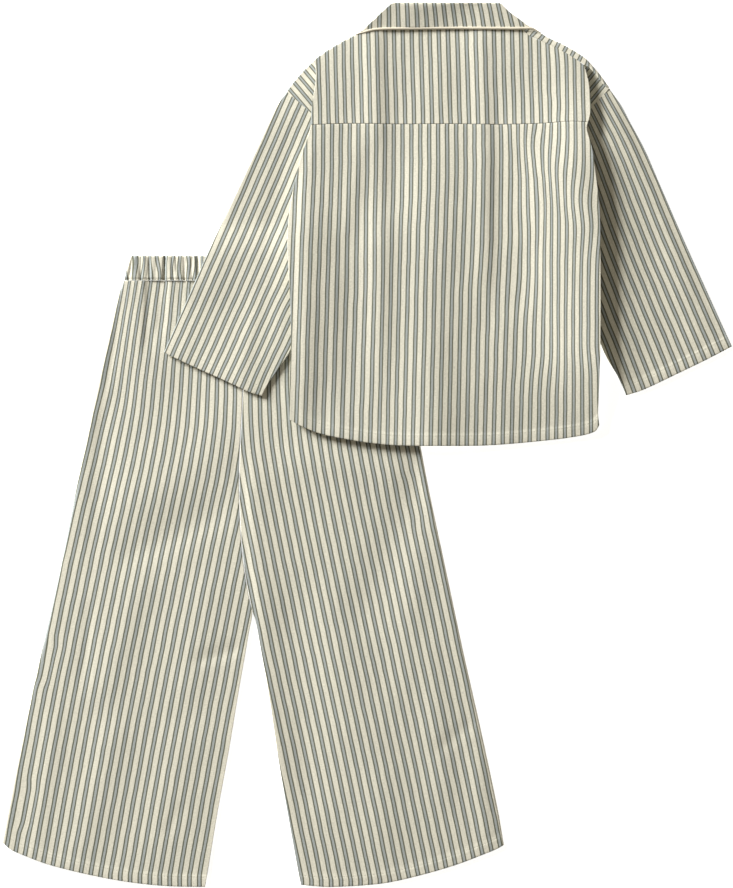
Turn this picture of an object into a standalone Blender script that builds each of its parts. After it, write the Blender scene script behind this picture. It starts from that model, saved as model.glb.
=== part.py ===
"""A two-piece pyjama set laid out flat with its back side up.

A shirt with a folded collar lies partly on a pair of wide trousers with an elastic waist. Each piece
that is cut and sewn is an object of its own: a thin wall of cotton with its real outline, its main
folds and its gathers. The tables give places in millimetres from the top left corner of the layout,
x across and y down the garments. Heights are millimetres above the table that the set lies on.
"""
import bpy
import numpy as np

# Driving dimensions, in millimetres.
LAYOUT_MIDDLE = (367.0, 445.0)   # the place on the layout that becomes the origin
WALL = 1.0                       # one layer of cotton
SEAM = 0.3                       # gap between two pieces that are sewn together
LOFT = 0.9                       # air between the two layers of a garment
ROLL = 3.0                       # how far in from a side the upper layer starts to roll down
ROLL_CLOSE = 0.8                 # the extra row of points near a rolled side
RIM = 1.2                        # height of the upper layer's rim over the bed at a rolled side
INSET = 1.4                      # how far the under layer stays inside the upper layer's outline
TUBE = 3.0                       # thickness of an empty sleeve, both layers and the air between
REACH = 14.0                     # how far cloth bridges outwards before it drops off a lower layer
BED_GAP = 1.0                    # clearance of a cloth over what it is laid on
PILE_CELL = 2.5                  # cell of the height map of what already lies on the table
PILE_SIZE = (760.0, 910.0)       # its extent, across and down
PILE_STEPS = 12                  # how finely each cell of a piece is spread over the height map
TO_METRES = 0.001

SHIRT_MIDDLE_X = 446.0           # centre front and centre back of the shirt
SHIRT_LIFT = 1.4                 # extra air under the shirt's back, over the overlapping fronts
SHIRT_INSET = 2.0                # how far the fronts stay inside the side seams
PLACKET = 12.0                   # how far each front runs past the centre front
PLACKET_STEP = 1.6               # how far the right front lies higher there than the left one
PLACKET_FALL = (9.0, 21.0)       # past the overlap, where that step starts and ends
SHIRT_GRID = (22, 16)            # cells of the back, across and down
YOKE_GRID = (22, 6)
FRONT_GRID = (10, 16)
SLEEVE_GRID = (8, 12)
SHOULDER_GRID = (5, 4)

TROUSERS_MIDDLE_X = 253.0
LEG_GRID = (13, 20)
LEG_UNDER_GRID = (4, 20)
WAIST_TOP_Y = 255.5
WAIST_SEAM_Y = 280.5             # where the elastic casing is stitched to the legs
WAIST_HALF = (122.0, 129.0)      # half widths of the waistband, at its top and at its seam
WAIST_BULGE = (125.5, 266.0)     # half width part of the way down, and where
WAIST_UNDER_GRID = (10, 2)
WAIST_INSET = 3.0                # how far the band's under half stays inside its ends
GATHER_PITCH = 7.6
GATHER_DEPTH = 0.7
GATHER_STEPS = 4                 # columns of points in each gather
DEEP_GATHER = (3, 0.3)           # every so many gathers one is deeper, by this share

BUTTON_RADIUS = 5.5
BUTTON_HEIGHT = 2.3
BUTTON_BEVEL = 0.35
BUTTON_SIDES = 16
BUTTON_ROWS_Y = (124.0, 192.0, 260.0, 328.0, 396.0)

COLLAR_COLUMNS = 20
COLLAR_WIDTH = 150.0
COLLAR_FALL = 24.0               # height of the folded leaf and of its stand
COLLAR_ROWS = (0.0, 0.4, 1.5, 7.0, 14.0, 24.0)   # rows of points, down from the roll
COLLAR_TURN = 1.5                # how far below its roll the collar is round
COLLAR_NECK_GAP = 1.2            # the stand ends this far above the neck seam
COLLAR_GRID = (5, 4)             # cells of each front stretch
PIPING_RADIUS = 1.3
PIPING_POINTS = 30
PIPING_DROP = 0.35               # the cord's middle lies this far under the leaf's face
ROLLED_COLUMNS = 16
ROLLED_PROFILE = [
    # share of the strip's width, height against its inner edge
    (0.0, -2.0),
    (0.2, -0.5),
    (0.55, 0.2),
    (1.0, 0.0),
]

# Outlines. Each row is a place (x, y) that the edge runs through.
LEFT_LEG_OUTER = [(123.6, 280.8), (117, 300), (103, 360), (90, 420), (76, 490), (60, 570),
                  (42, 650), (24, 730), (8, 810), (2, 842)]
LEFT_LEG_HEM = [(2, 842), (9, 848.5), (20, 854), (53, 866), (115, 880), (164, 886), (205, 887)]
SEAT_SEAM = [(250, 280.8), (245, 340), (243, 400), (242.5, 450), (239.5, 490), (240.3, 530),
             (243.5, 565), (247.5, 590), (250, 602), (252.3, 613)]
LEFT_INSEAM = [(249, 632), (246, 650), (239, 690), (229, 750), (218, 810), (208, 870), (205, 887)]
RIGHT_INSEAM = [(255.5, 620), (261, 650), (268, 690), (277, 750), (287, 810), (298, 870), (301, 885)]
RIGHT_LEG_OUTER = [(382.4, 280.8), (389, 300), (403, 360), (416, 420), (421, 448), (429, 490),
                   (446, 570), (463, 650), (481, 730), (498, 810), (504, 842)]
RIGHT_LEG_HEM = [(301, 885), (330, 887), (379, 884), (410, 878), (453, 866), (485, 854),
                 (498, 848.5), (504, 842)]

BODY_LEFT = [(311, 124.6), (309, 133), (306, 143), (301, 156), (297, 174), (292, 195), (288.5, 220),
             (287.5, 245), (288.5, 270), (290.5, 310), (291, 345), (290, 380), (290, 420)]
BODY_RIGHT = [(588, 122), (586.4, 129), (588.5, 137), (592, 150), (596, 180), (599, 205), (600, 240),
              (600, 340), (598.3, 400), (598, 415), (599.2, 425)]
BODY_HEM = [(290, 420), (304, 427.5), (325, 435), (366, 442.5), (396, 445.5), (440, 446),
            (487, 445.5), (537, 441.5), (577, 436.5), (595, 431.5), (599.2, 425)]
YOKE_SEAM = [(311, 124.3), (345, 123), (400, 123.5), (450, 123.3), (500, 123.8), (540, 123),
             (570, 121), (588, 121.7)]
YOKE_SEAM_BELOW = [(x, y + SEAM) for x, y in YOKE_SEAM]
YOKE_LEFT = [(313, 61), (315.5, 68), (316, 76), (315, 86), (313, 98), (311.5, 110), (311, 124.3)]
YOKE_RIGHT = [(584, 65.5), (586, 72), (588.5, 82), (590, 95), (591, 108), (589.5, 117), (588, 121.7)]
LEFT_SHOULDER_LINE = [(313, 61), (325, 52), (338, 44), (345, 40), (353, 36), (358, 33.2)]
NECK_SEAM = [(365, 29), (376, 25), (400, 22.5), (446, 22), (495, 22.5), (514, 25.5), (524, 31)]
RIGHT_SHOULDER_LINE = [(531, 37), (540, 40.5), (550, 45), (560, 50), (572, 57), (584, 65.5)]
ROLLED_SHOULDER_OUTER = [(533, 31), (540, 32.7), (545, 36), (553, 40), (562, 44), (569, 48),
                         (576, 52), (587, 60), (594, 68), (600, 75), (609, 87.6)]
ROLLED_SHOULDER_INNER = [(533, 36.6), (540, 39.9), (550, 44.7), (560, 49.7), (572, 56.7),
                         (584, 65.2), (590, 71), (596, 78), (603.6, 88)]

COLLAR_ROLL = [(391, 4.4), (393.5, 3.2), (446, 3), (499, 3.2), (501.5, 4.4)]
COLLAR_LEFT = [(391, 4.4), (382, 12), (373, 20), (362, 28), (358.5, 30.8)]
COLLAR_RIGHT = [(501.5, 4.4), (509, 12), (521, 20), (526, 24), (534.5, 28.6)]
COLLAR_EDGE = [(358.5, 30.8), (372, 28.4), (386, 27.2), (415, 26.7), (449, 26.3), (490, 26.5),
               (524, 27.1), (534.5, 28.6)]
PIPING_LINE = [(357, 33.2), (372, 30.5), (386, 29.2), (415, 28.7), (449, 28.3), (490, 28.5),
               (524, 29.1), (535.5, 30.9)]
LEAF_NECK = [(361, 38), (378, 52), (396, 67), (420, 87), (441, 104)]
LEAF_SIDE = [(361, 38), (353, 47), (366, 85), (386, 121)]
LEAF_FRONT = [(441, 104), (436, 112), (430, 119)]
LEAF_EDGE = [(386, 121), (408, 121), (430, 119)]
FRONT_NECKLINE = [(316, 64), (338, 49), (360, 40), (396, 69.5), (441, 106.5), (458, 108)]
FRONT_RIGHT_SHOULDER = (583.5, 69)

LEFT_SHOULDER = {"top": [(312.6, 61.6), (320, 64.5), (328, 68)],
                 "bottom": [(287.6, 90.6), (299, 100.5), (310.5, 110.6), (322, 121)],
                 "left": [(312.6, 61.6), (304, 70), (299, 75.5), (293, 82.5), (287.6, 90.6)],
                 "right": [(328, 68), (326, 95), (322, 121)]}
RIGHT_SHOULDER = {"top": [(574, 68), (581, 65.5), (587.5, 63.5)],
                  "bottom": [(583, 114), (592.6, 104.2), (600.4, 96.2), (609, 88.4)],
                  "left": [(574, 68), (577, 95), (583, 114)],
                  "right": [(587.5, 63.5), (598.5, 75.5), (609, 88.4)]}
LEFT_SLEEVE = {"top": [(287, 91.4), (299, 101.3), (310.2, 111.4), (320, 124), (327, 150)],
               "bottom": [(164, 352.5), (178, 359.5), (204, 371.5), (220, 378.5), (235, 385.5),
                          (250, 392.5), (262, 396)],
               "left": [(287, 91.4), (277, 105.5), (270, 120), (256, 150), (228, 210), (207, 255),
                        (188, 298), (164, 352.5)],
               "right": [(327, 150), (325, 190), (316, 220), (308, 250), (304, 290), (298, 330),
                         (291, 350), (280, 367), (268, 384.5), (262, 396)]}
RIGHT_SLEEVE = {"top": [(573, 150), (582, 124), (593.2, 104.9), (601, 96.9), (609.6, 89.1)],
                "bottom": [(626, 395.5), (643, 390), (675, 375), (706, 360), (732, 346.5)],
                "left": [(573, 150), (573, 185), (579, 220), (585, 250), (590, 290), (596, 325),
                         (601, 345), (608, 360), (617, 375), (624, 390), (626, 395.5)],
                "right": [(609.6, 89.1), (621, 105), (629, 120), (645, 150), (658, 180), (684, 240),
                          (711, 300), (732, 346.5)]}

# Folds. Each row is a soft ridge: x and y where it starts and ends, its half width, its height.
SHIRT_FOLDS = [
    # x_from y_from x_to  y_to  width height
    (377, 56, 380, 366, 14, 2.0),
    (428, 140, 428, 446, 20, 2.4),
    (480, 44, 487, 240, 13, 1.8),
    (356, 118, 322, 255, 11, 1.5),
    (304, 150, 302, 410, 13, 1.0),
    (545, 140, 584, 262, 16, 1.8),
    (572, 300, 572, 430, 18, 1.4),
]
LEFT_LEG_FOLDS = [
    (134, 286, 143, 404, 13, 1.9),
    (170, 284, 166, 350, 13, 1.2),
    (122, 522, 226, 490, 22, 1.2),
    (118, 592, 230, 560, 20, 1.0),
    (70, 640, 40, 800, 16, 1.0),
]
RIGHT_LEG_FOLDS = [
    (253, 490, 266, 628, 13, 1.5),
    (266, 600, 288, 764, 13, 1.5),
    (296, 520, 404, 484, 20, 1.6),
    (419, 500, 388, 640, 15, 1.4),
    (430, 590, 458, 740, 18, 1.0),
]
LEFT_SLEEVE_FOLDS = [
    (262, 140, 212, 300, 16, 1.6),
    (300, 150, 268, 330, 13, 1.4),
]
RIGHT_SLEEVE_FOLDS = [
    (632, 150, 706, 330, 16, 1.8),
    (590, 120, 598, 350, 13, 4.6),
]

# Colours are linear, roughness as on a matte cotton and a polished button.
COTTON_COLOUR = (0.62, 0.59, 0.49, 1.0)
PIPING_COLOUR = (0.83, 0.77, 0.61, 1.0)
BUTTON_COLOUR = (0.80, 0.78, 0.72, 1.0)
COTTON_ROUGHNESS = 0.9
BUTTON_ROUGHNESS = 0.35


def clear_scene():
    for item in list(bpy.context.scene.objects):
        bpy.data.objects.remove(item, do_unlink=True)


def new_collection(name):
    collection = bpy.data.collections.new(name)
    bpy.context.scene.collection.children.link(collection)
    return collection


def material(name, colour, roughness):
    finish = bpy.data.materials.new(name)
    finish.use_nodes = True
    shader = finish.node_tree.nodes["Principled BSDF"]
    shader.inputs["Base Color"].default_value = colour
    shader.inputs["Roughness"].default_value = roughness
    shader.inputs["Metallic"].default_value = 0.0
    return finish


# ---- lines, patches and heights ----

SIDES = ("top", "bottom", "left", "right")


def smooth_line(places, steps=12):
    """Cubic curve through the places; its slope at a place is the mean of the two chords beside it,
    each weighted by its length."""
    knots = np.array(places, float)
    length = np.hypot(*np.diff(knots, axis=0).T)[:, None]
    chord = np.diff(knots, axis=0) / length
    inner = (knots[2:] - knots[:-2]) / (length[1:] + length[:-1])
    slope = np.vstack([chord[:1], inner, chord[-1:]])
    t = np.linspace(0, 1, steps, endpoint=False)[None, :, None]
    start, end = knots[:-1, None], knots[1:, None]
    leave, arrive = (slope[:-1] * length)[:, None], (slope[1:] * length)[:, None]
    curve = ((2 * t**3 - 3 * t**2 + 1) * start + (t**3 - 2 * t**2 + t) * leave
             + (3 * t**2 - 2 * t**3) * end + (t**3 - t**2) * arrive)
    return np.vstack([curve.reshape(-1, 2), knots[-1:]])


def along(line, fractions):
    """Places on a line at fractions of its length; fractions may be an array of any shape."""
    travelled = np.concatenate([[0], np.cumsum(np.hypot(*np.diff(line, axis=0).T))])
    travelled /= travelled[-1]
    return np.stack([np.interp(fractions, travelled, line[:, axis]) for axis in (0, 1)], axis=-1)


def patch(outline, u, v):
    """Coons patch: the surface ruled from top to bottom plus the one ruled from left to right, less
    the one that the four corners span. u runs left to right and v top to bottom, both 0 to 1."""
    top, bottom, left, right = (smooth_line(outline[side]) for side in SIDES)
    across, down = u[..., None], v[..., None]
    ruled_down = (1 - down) * along(top, u) + down * along(bottom, u)
    ruled_across = (1 - across) * along(left, v) + across * along(right, v)
    corners = ((1 - across) * (1 - down) * top[0] + across * (1 - down) * top[-1]
               + (1 - across) * down * bottom[0] + across * down * bottom[-1])
    return ruled_down + ruled_across - corners


def stations(cells, length, first=0.0, last=0.0, close_first=False, close_last=False):
    """Fractions of a length cut into even cells from `first` in from its start to `last` in from its
    end, with two close ones added where a side rolls down. `length` may be an array."""
    length = np.atleast_1d(length)[:, None]
    start = first + np.array([[0, ROLL_CLOSE, ROLL]] if close_first else [[0.0]])
    end = last + np.array([[ROLL, ROLL_CLOSE, 0]] if close_last else [[0.0]])
    start, end = start / length, 1 - end / length
    even = np.linspace(0, 1, cells + 1)[1:-1]
    middle = start[:, -1:] + (end[:, :1] - start[:, -1:]) * even
    return np.concatenate([start, middle, end], axis=1)


def panel_grid(outline, grid, sides=(), inset=None):
    """Places of a panel's points, rows down and columns across; `grid` is the cells across and down.
    Sides named in `sides` get close rows for their roll. `inset` gives, side by side, how far the
    panel stays inside its outline."""
    columns, rows = grid
    margin = dict.fromkeys(SIDES, 0.0) | (inset or {})
    left, right = smooth_line(outline["left"]), smooth_line(outline["right"])
    tall = np.hypot(*np.diff(left, axis=0).T).sum()
    down = stations(rows, tall, margin["top"], margin["bottom"], "top" in sides, "bottom" in sides)[0]
    wide = np.hypot(*(along(right, down) - along(left, down)).T)
    across = stations(columns, wide, margin["left"], margin["right"], "left" in sides, "right" in sides)
    return patch(outline, across, np.repeat(down[:, None], across.shape[1], axis=1))


def side_distances(places):
    """For every point its distance, along its row or column, from each of the four sides."""
    step_across = np.hypot(*np.moveaxis(np.diff(places, axis=1), -1, 0))
    step_down = np.hypot(*np.moveaxis(np.diff(places, axis=0), -1, 0))
    from_left = np.pad(np.cumsum(step_across, axis=1), ((0, 0), (1, 0)))
    from_top = np.pad(np.cumsum(step_down, axis=0), ((1, 0), (0, 0)))
    return {"left": from_left, "right": from_left[:, -1:] - from_left,
            "top": from_top, "bottom": from_top[-1:] - from_top}


def roll_down(distance, depth, radius=ROLL):
    """Quarter-ellipse drop: `depth` at the side, none from `radius` inwards."""
    inwards = np.clip(distance / radius, 0, 1)
    return depth * (1 - np.sqrt(1 - (1 - inwards) ** 2))


def smooth_step(t):
    t = np.clip(t, 0, 1)
    return t * t * (3 - 2 * t)


def fold_height(places, folds):
    """Sum of soft ridges: a bell across each one, fading out over a quarter of its length."""
    total = np.zeros(places.shape[:-1])
    for x_from, y_from, x_to, y_to, width, height in folds:
        run = np.array([x_to - x_from, y_to - y_from], float)
        length = np.hypot(*run)
        offset = places - (x_from, y_from)
        travelled = (offset @ run) / length**2
        across = (offset[..., 0] * run[1] - offset[..., 1] * run[0]) / length
        fade = smooth_step(travelled / 0.25) * smooth_step((1 - travelled) / 0.25)
        total += height * np.exp(-(across / width) ** 2) * fade
    return total


class Pile:
    """Height map of what lies on the table, for the next garment to be laid on."""

    def __init__(self):
        self.x = np.arange(0, PILE_SIZE[0], PILE_CELL)
        self.y = np.arange(0, PILE_SIZE[1], PILE_CELL)
        self.top = np.zeros((len(self.y), len(self.x)))

    def add(self, surface):
        """Raise the map to a surface given as rows and columns of points."""
        rows, columns = surface.shape[:2]
        fine_rows = np.linspace(0, rows - 1, rows * PILE_STEPS)
        fine_columns = np.linspace(0, columns - 1, columns * PILE_STEPS)
        down = np.stack([[np.interp(fine_rows, np.arange(rows), surface[:, c, k]) for c in range(columns)]
                         for k in range(3)])
        fine = np.stack([[np.interp(fine_columns, np.arange(columns), down[k, :, r])
                          for r in range(len(fine_rows))] for k in range(3)])
        column = np.clip(np.round(fine[0] / PILE_CELL).astype(int), 0, len(self.x) - 1)
        row = np.clip(np.round(fine[1] / PILE_CELL).astype(int), 0, len(self.y) - 1)
        np.maximum.at(self.top, (row, column), fine[2])

    def bed(self, reach=REACH):
        """Height function of a cloth laid on the pile. The map is widened to the highest point
        within `reach` and then averaged twice over half of it, so it never dips into the pile."""
        half = max(1, round(reach / PILE_CELL / 2))
        spread = self.top.copy()
        for axis in (0, 1):
            shifts = range(-2 * half, 2 * half + 1)
            spread = np.max([np.roll(spread, shift, axis) for shift in shifts], axis=0)
        for axis in (0, 1, 0, 1):
            spread = np.mean([np.roll(spread, shift, axis) for shift in range(-half, half + 1)], axis=0)

        def height(places):
            column = np.clip(places[..., 0] / PILE_CELL, 0, len(self.x) - 1.001)
            row = np.clip(places[..., 1] / PILE_CELL, 0, len(self.y) - 1.001)
            c, r = column.astype(int), row.astype(int)
            part_c, part_r = column - c, row - r
            upper = spread[r, c] * (1 - part_c) + spread[r, c + 1] * part_c
            lower = spread[r + 1, c] * (1 - part_c) + spread[r + 1, c + 1] * part_c
            raw = upper * (1 - part_r) + lower * part_r
            return raw + BED_GAP * np.clip(raw / WALL, 0, 1)

        return height


def table(places):
    """The bed of what lies straight on the table."""
    return np.zeros(places.shape[:-1])


# ---- pieces ----

def cloth_wall(name, surface, finish, collection, closed=False, wall=WALL):
    """An object whose outer face is the surface, thickened inwards. `closed` joins the last column
    to the first, as on a sleeve."""
    rows, columns = surface.shape[:2]
    points = surface.reshape(-1, 3) * TO_METRES
    points[:, 0] -= LAYOUT_MIDDLE[0] * TO_METRES
    points[:, 1] = LAYOUT_MIDDLE[1] * TO_METRES - points[:, 1]
    row, column = np.meshgrid(np.arange(rows - 1), np.arange(columns if closed else columns - 1),
                              indexing="ij")
    beside = (column + 1) % columns
    faces = np.stack([row * columns + column, (row + 1) * columns + column,
                      (row + 1) * columns + beside, row * columns + beside], axis=-1)
    mesh = bpy.data.meshes.new(name)
    mesh.from_pydata(points.tolist(), [], faces.reshape(-1, 4).tolist())
    mesh.shade_smooth()
    mesh.materials.append(finish)
    piece = bpy.data.objects.new(name, mesh)
    collection.objects.link(piece)
    thickness = piece.modifiers.new("Wall", "SOLIDIFY")
    thickness.thickness = wall * TO_METRES
    thickness.offset = -1.0
    return piece


def with_height(places, height):
    return np.concatenate([places, height[..., None]], axis=-1)


def under_panel(name, outline, grid, inset, bed, finish, collection, step=None):
    """A lower layer: it lies flat on its bed, but for the height that `step` gives each place."""
    places = panel_grid(outline, grid, inset=inset)
    height = bed(places) + WALL
    if step is not None:
        height = height + step(places)
    surface = with_height(places, height)
    cloth_wall(name, surface, finish, collection)
    return surface


def upper_panel(name, outline, grid, rolls, folds, bed, finish, collection, lift=0.0):
    """An upper layer: over the lower one by its loft and folds, and rolled down at the sides that
    `rolls` names with how deep each falls, as a share of the full drop."""
    places = panel_grid(outline, grid, sides=rolls)
    distance = side_distances(places)
    full = WALL + LOFT + WALL + lift
    height = np.full(places.shape[:-1], full) + fold_height(places, folds)
    for side, share in rolls.items():
        settle = smooth_step(distance[side] / (4 * ROLL))
        near = full + (height - full) * settle
        height = near - roll_down(distance[side], share * (full - RIM))
    surface = with_height(places, bed(places) + height)
    cloth_wall(name, surface, finish, collection)
    return surface


def flat_tube(name, outline, grid, folds, bed, finish, collection):
    """An empty sleeve lying flat: its ring runs along the upper layer, round the far side and back
    along the lower layer. Both sides are half circles as high as the tube is thick."""
    places = panel_grid(outline, grid, sides=("left", "right"))
    distance = side_distances(places)
    radius = TUBE / 2
    nearest = np.clip(np.minimum(distance["left"], distance["right"]) / radius, 0, 1)
    half_thick = radius * np.sqrt(1 - (1 - nearest) ** 2)
    settle = smooth_step(np.minimum(distance["left"], distance["right"]) / (4 * ROLL))
    floor = bed(places)
    upper = with_height(places, floor + radius + half_thick + fold_height(places, folds) * settle)
    lower = with_height(places, floor + radius - half_thick)
    ring = np.concatenate([upper, lower[:, -2:0:-1]], axis=1)
    cloth_wall(name, ring, finish, collection, closed=True)
    return upper


def leg_outline(side):
    """The four edges of one leg's panels, left edge to right edge."""
    if side == "left":
        inner = SEAT_SEAM + LEFT_INSEAM
        return {"top": [LEFT_LEG_OUTER[0], (190, WAIST_SEAM_Y + SEAM), inner[0]], "bottom": LEFT_LEG_HEM,
                "left": LEFT_LEG_OUTER, "right": inner}
    inner = [(x + 2 * SEAM, y) for x, y in SEAT_SEAM] + RIGHT_INSEAM
    return {"top": [inner[0], (316, WAIST_SEAM_Y + SEAM), RIGHT_LEG_OUTER[0]], "bottom": RIGHT_LEG_HEM,
            "left": inner, "right": RIGHT_LEG_OUTER}


def make_leg(side, folds, collection):
    """Front and back of one leg. The back is the upper layer."""
    outline = leg_outline(side)
    outer, inner = ("left", "right") if side == "left" else ("right", "left")
    finish = material(f"leg_{side}_cotton", COTTON_COLOUR, COTTON_ROUGHNESS)
    under_panel(f"trousers_front_{side}", outline, LEG_UNDER_GRID,
                {outer: INSET, inner: INSET, "top": SEAM, "bottom": INSET}, table, finish, collection)
    return upper_panel(f"trousers_back_{side}", outline, LEG_GRID, {outer: 1.0, inner: 0.7}, folds,
                       table, finish, collection)


def waistband_outline():
    middle = TROUSERS_MIDDLE_X
    bulge, bulge_y = WAIST_BULGE
    sides = {}
    for side, way in (("left", -1), ("right", 1)):
        sides[side] = [(middle + way * WAIST_HALF[0], WAIST_TOP_Y), (middle + way * bulge, bulge_y),
                       (middle + way * WAIST_HALF[1], WAIST_SEAM_Y)]
    return sides | {"top": [sides["left"][0], (middle, WAIST_TOP_Y), sides["right"][0]],
                    "bottom": [sides["left"][-1], (middle, WAIST_SEAM_Y), sides["right"][-1]]}


def gather_height(places):
    """Waves across the band: one gather per pitch, every few of them one deeper."""
    turn = (places[..., 0] - TROUSERS_MIDDLE_X) / GATHER_PITCH
    every, share = DEEP_GATHER
    deeper = 1 + share * np.cos(2 * np.pi * turn / every)
    return GATHER_DEPTH * deeper * np.cos(2 * np.pi * turn)


def make_waistband(collection):
    """The elastic casing, gathered on the upper half and flat on the half that it lies on."""
    outline = waistband_outline()
    finish = material("waistband_cotton", COTTON_COLOUR, COTTON_ROUGHNESS)
    under_panel("waistband_front", outline, WAIST_UNDER_GRID,
                {"left": WAIST_INSET, "right": WAIST_INSET, "top": INSET}, table, finish, collection)
    gathers = round(2 * WAIST_HALF[0] / GATHER_PITCH)
    places = panel_grid(outline, (gathers * GATHER_STEPS, 1), sides=("left", "right"))
    distance = side_distances(places)
    nearest = np.minimum(distance["left"], distance["right"])
    full = WALL + LOFT + WALL + GATHER_DEPTH
    gathered = gather_height(places) * smooth_step(nearest / (2 * ROLL))
    surface = with_height(places, full + gathered - roll_down(nearest, full - RIM))
    cloth_wall("waistband_back", surface, finish, collection)
    return surface


def make_button(number, y, collection):
    """A flat disc under the placket, resting on the table."""
    bpy.ops.mesh.primitive_cylinder_add(vertices=BUTTON_SIDES, radius=BUTTON_RADIUS * TO_METRES,
                                        depth=BUTTON_HEIGHT * TO_METRES)
    button = bpy.context.object
    button.name = f"button_{number}"
    button.data.name = button.name
    button.location = ((SHIRT_MIDDLE_X - LAYOUT_MIDDLE[0]) * TO_METRES,
                       (LAYOUT_MIDDLE[1] - y) * TO_METRES, BUTTON_HEIGHT / 2 * TO_METRES)
    bevel = button.modifiers.new("Edge", "BEVEL")
    bevel.width = BUTTON_BEVEL * TO_METRES
    bevel.segments = 1
    button.data.materials.append(material(f"{button.name}_shell", BUTTON_COLOUR, BUTTON_ROUGHNESS))
    for owner in list(button.users_collection):
        owner.objects.unlink(button)
    collection.objects.link(button)


def button_row_surface():
    """What the placket lies level on: a strip as wide as the overlap, from the topmost button down
    past the hem, so high that the cloth on it clears the buttons by a seam gap."""
    x = SHIRT_MIDDLE_X + np.linspace(-PLACKET, PLACKET, 5)
    y = np.linspace(BUTTON_ROWS_Y[0] - BUTTON_RADIUS, BODY_HEM[5][1] + REACH, 20)
    places = np.stack(np.meshgrid(x, y), axis=-1)
    return with_height(places, np.full(places.shape[:-1], BUTTON_HEIGHT + SEAM - BED_GAP))


def mirrored(places):
    return [(2 * SHIRT_MIDDLE_X - x, y) for x, y in places]


def leaf_outline(side):
    """The front stretch of the collar, from the shoulder round to the centre front."""
    if side == "left":
        return {"top": LEAF_NECK, "bottom": LEAF_EDGE, "left": LEAF_SIDE, "right": LEAF_FRONT}
    return {"top": mirrored(LEAF_NECK)[::-1], "bottom": mirrored(LEAF_EDGE)[::-1],
            "left": mirrored(LEAF_FRONT), "right": mirrored(LEAF_SIDE)}


def front_outline(side):
    """A shirt front: shoulder and neckline on top, placket edge at the centre, hem below."""
    placket_x = SHIRT_MIDDLE_X + (PLACKET if side == "left" else -PLACKET)
    placket_hem = (placket_x, BODY_HEM[5][1])
    if side == "left":
        outer = [FRONT_NECKLINE[0]] + YOKE_LEFT[1:-1] + BODY_LEFT[1:]
        return {"top": FRONT_NECKLINE, "bottom": BODY_HEM[:5] + [placket_hem], "left": outer,
                "right": [FRONT_NECKLINE[-1], placket_hem]}
    neckline = mirrored(FRONT_NECKLINE)[:0:-1] + [FRONT_RIGHT_SHOULDER]
    outer = [FRONT_RIGHT_SHOULDER] + YOKE_RIGHT[2:-1] + BODY_RIGHT[1:]
    return {"top": neckline, "bottom": [placket_hem] + BODY_HEM[6:], "left": [neckline[0], placket_hem],
            "right": outer}


def over_placket(places):
    """The right front steps up onto the left one where the two overlap at the centre front."""
    past = places[..., 0] - (SHIRT_MIDDLE_X + PLACKET)
    start, end = PLACKET_FALL
    return PLACKET_STEP * (1 - smooth_step((past - start) / (end - start)))


def make_shirt_body(bed, collection):
    """Both fronts, the back and the yoke, each on the bed that the sleeves and trousers make."""
    front_finish = material("front_cotton", COTTON_COLOUR, COTTON_ROUGHNESS)
    back_finish = material("back_cotton", COTTON_COLOUR, COTTON_ROUGHNESS)
    yoke_finish = material("yoke_cotton", COTTON_COLOUR, COTTON_ROUGHNESS)
    under_panel("shirt_front_left", front_outline("left"), FRONT_GRID,
                {"left": SHIRT_INSET, "bottom": INSET}, bed, front_finish, collection)
    under_panel("shirt_front_right", front_outline("right"), FRONT_GRID,
                {"right": SHIRT_INSET, "bottom": INSET}, bed, front_finish, collection, step=over_placket)
    back = {"top": YOKE_SEAM_BELOW, "bottom": BODY_HEM, "left": BODY_LEFT, "right": BODY_RIGHT}
    upper_panel("shirt_back", back, SHIRT_GRID, {"left": 0.8, "right": 0.8}, SHIRT_FOLDS, bed,
                back_finish, collection, lift=SHIRT_LIFT)
    neck = LEFT_SHOULDER_LINE + NECK_SEAM + RIGHT_SHOULDER_LINE
    yoke = {"top": neck, "bottom": YOKE_SEAM, "left": YOKE_LEFT, "right": YOKE_RIGHT}
    upper_panel("yoke", yoke, YOKE_GRID, {"left": 0.8, "right": 0.8, "top": 0.4}, SHIRT_FOLDS, bed,
                yoke_finish, collection, lift=SHIRT_LIFT)


def make_rolled_shoulder(bed, collection):
    """The strip of the right front that comes over the shoulder line onto the yoke's side."""
    outline = {"top": ROLLED_SHOULDER_OUTER, "bottom": ROLLED_SHOULDER_INNER,
               "left": [ROLLED_SHOULDER_OUTER[0], ROLLED_SHOULDER_INNER[0]],
               "right": [ROLLED_SHOULDER_OUTER[-1], ROLLED_SHOULDER_INNER[-1]]}
    shares, heights = np.array(ROLLED_PROFILE).T
    across, down = np.meshgrid(np.linspace(0, 1, ROLLED_COLUMNS + 1), shares)
    places = patch(outline, across, down)
    height = bed(places) + WALL + LOFT + WALL + SHIRT_LIFT + heights[:, None]
    finish = material("rolled_shoulder_cotton", COTTON_COLOUR, COTTON_ROUGHNESS)
    cloth_wall("shirt_front_shoulder", with_height(places, height), finish, collection)


def collar_half(outline, bed, face, turn):
    """Points of the collar's leaf or stand, down from the roll. `face` is its height over the bed
    and `turn` how far it leaves that height at the roll and, a little less, at both ends."""
    across = stations(COLLAR_COLUMNS, COLLAR_WIDTH, close_first=True, close_last=True)[0]
    places = patch(outline, *np.meshgrid(across, np.array(COLLAR_ROWS) / COLLAR_FALL))
    distance = side_distances(places)
    at_roll = roll_down(distance["top"], turn, COLLAR_TURN)
    nearest = np.minimum(distance["left"], distance["right"])
    at_ends = roll_down(nearest, turn - np.sign(turn) * (WALL - SEAM), ROLL)
    lift = np.where(np.abs(at_roll) > np.abs(at_ends), at_roll, at_ends)
    return with_height(places, bed(places) + face - lift)


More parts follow.
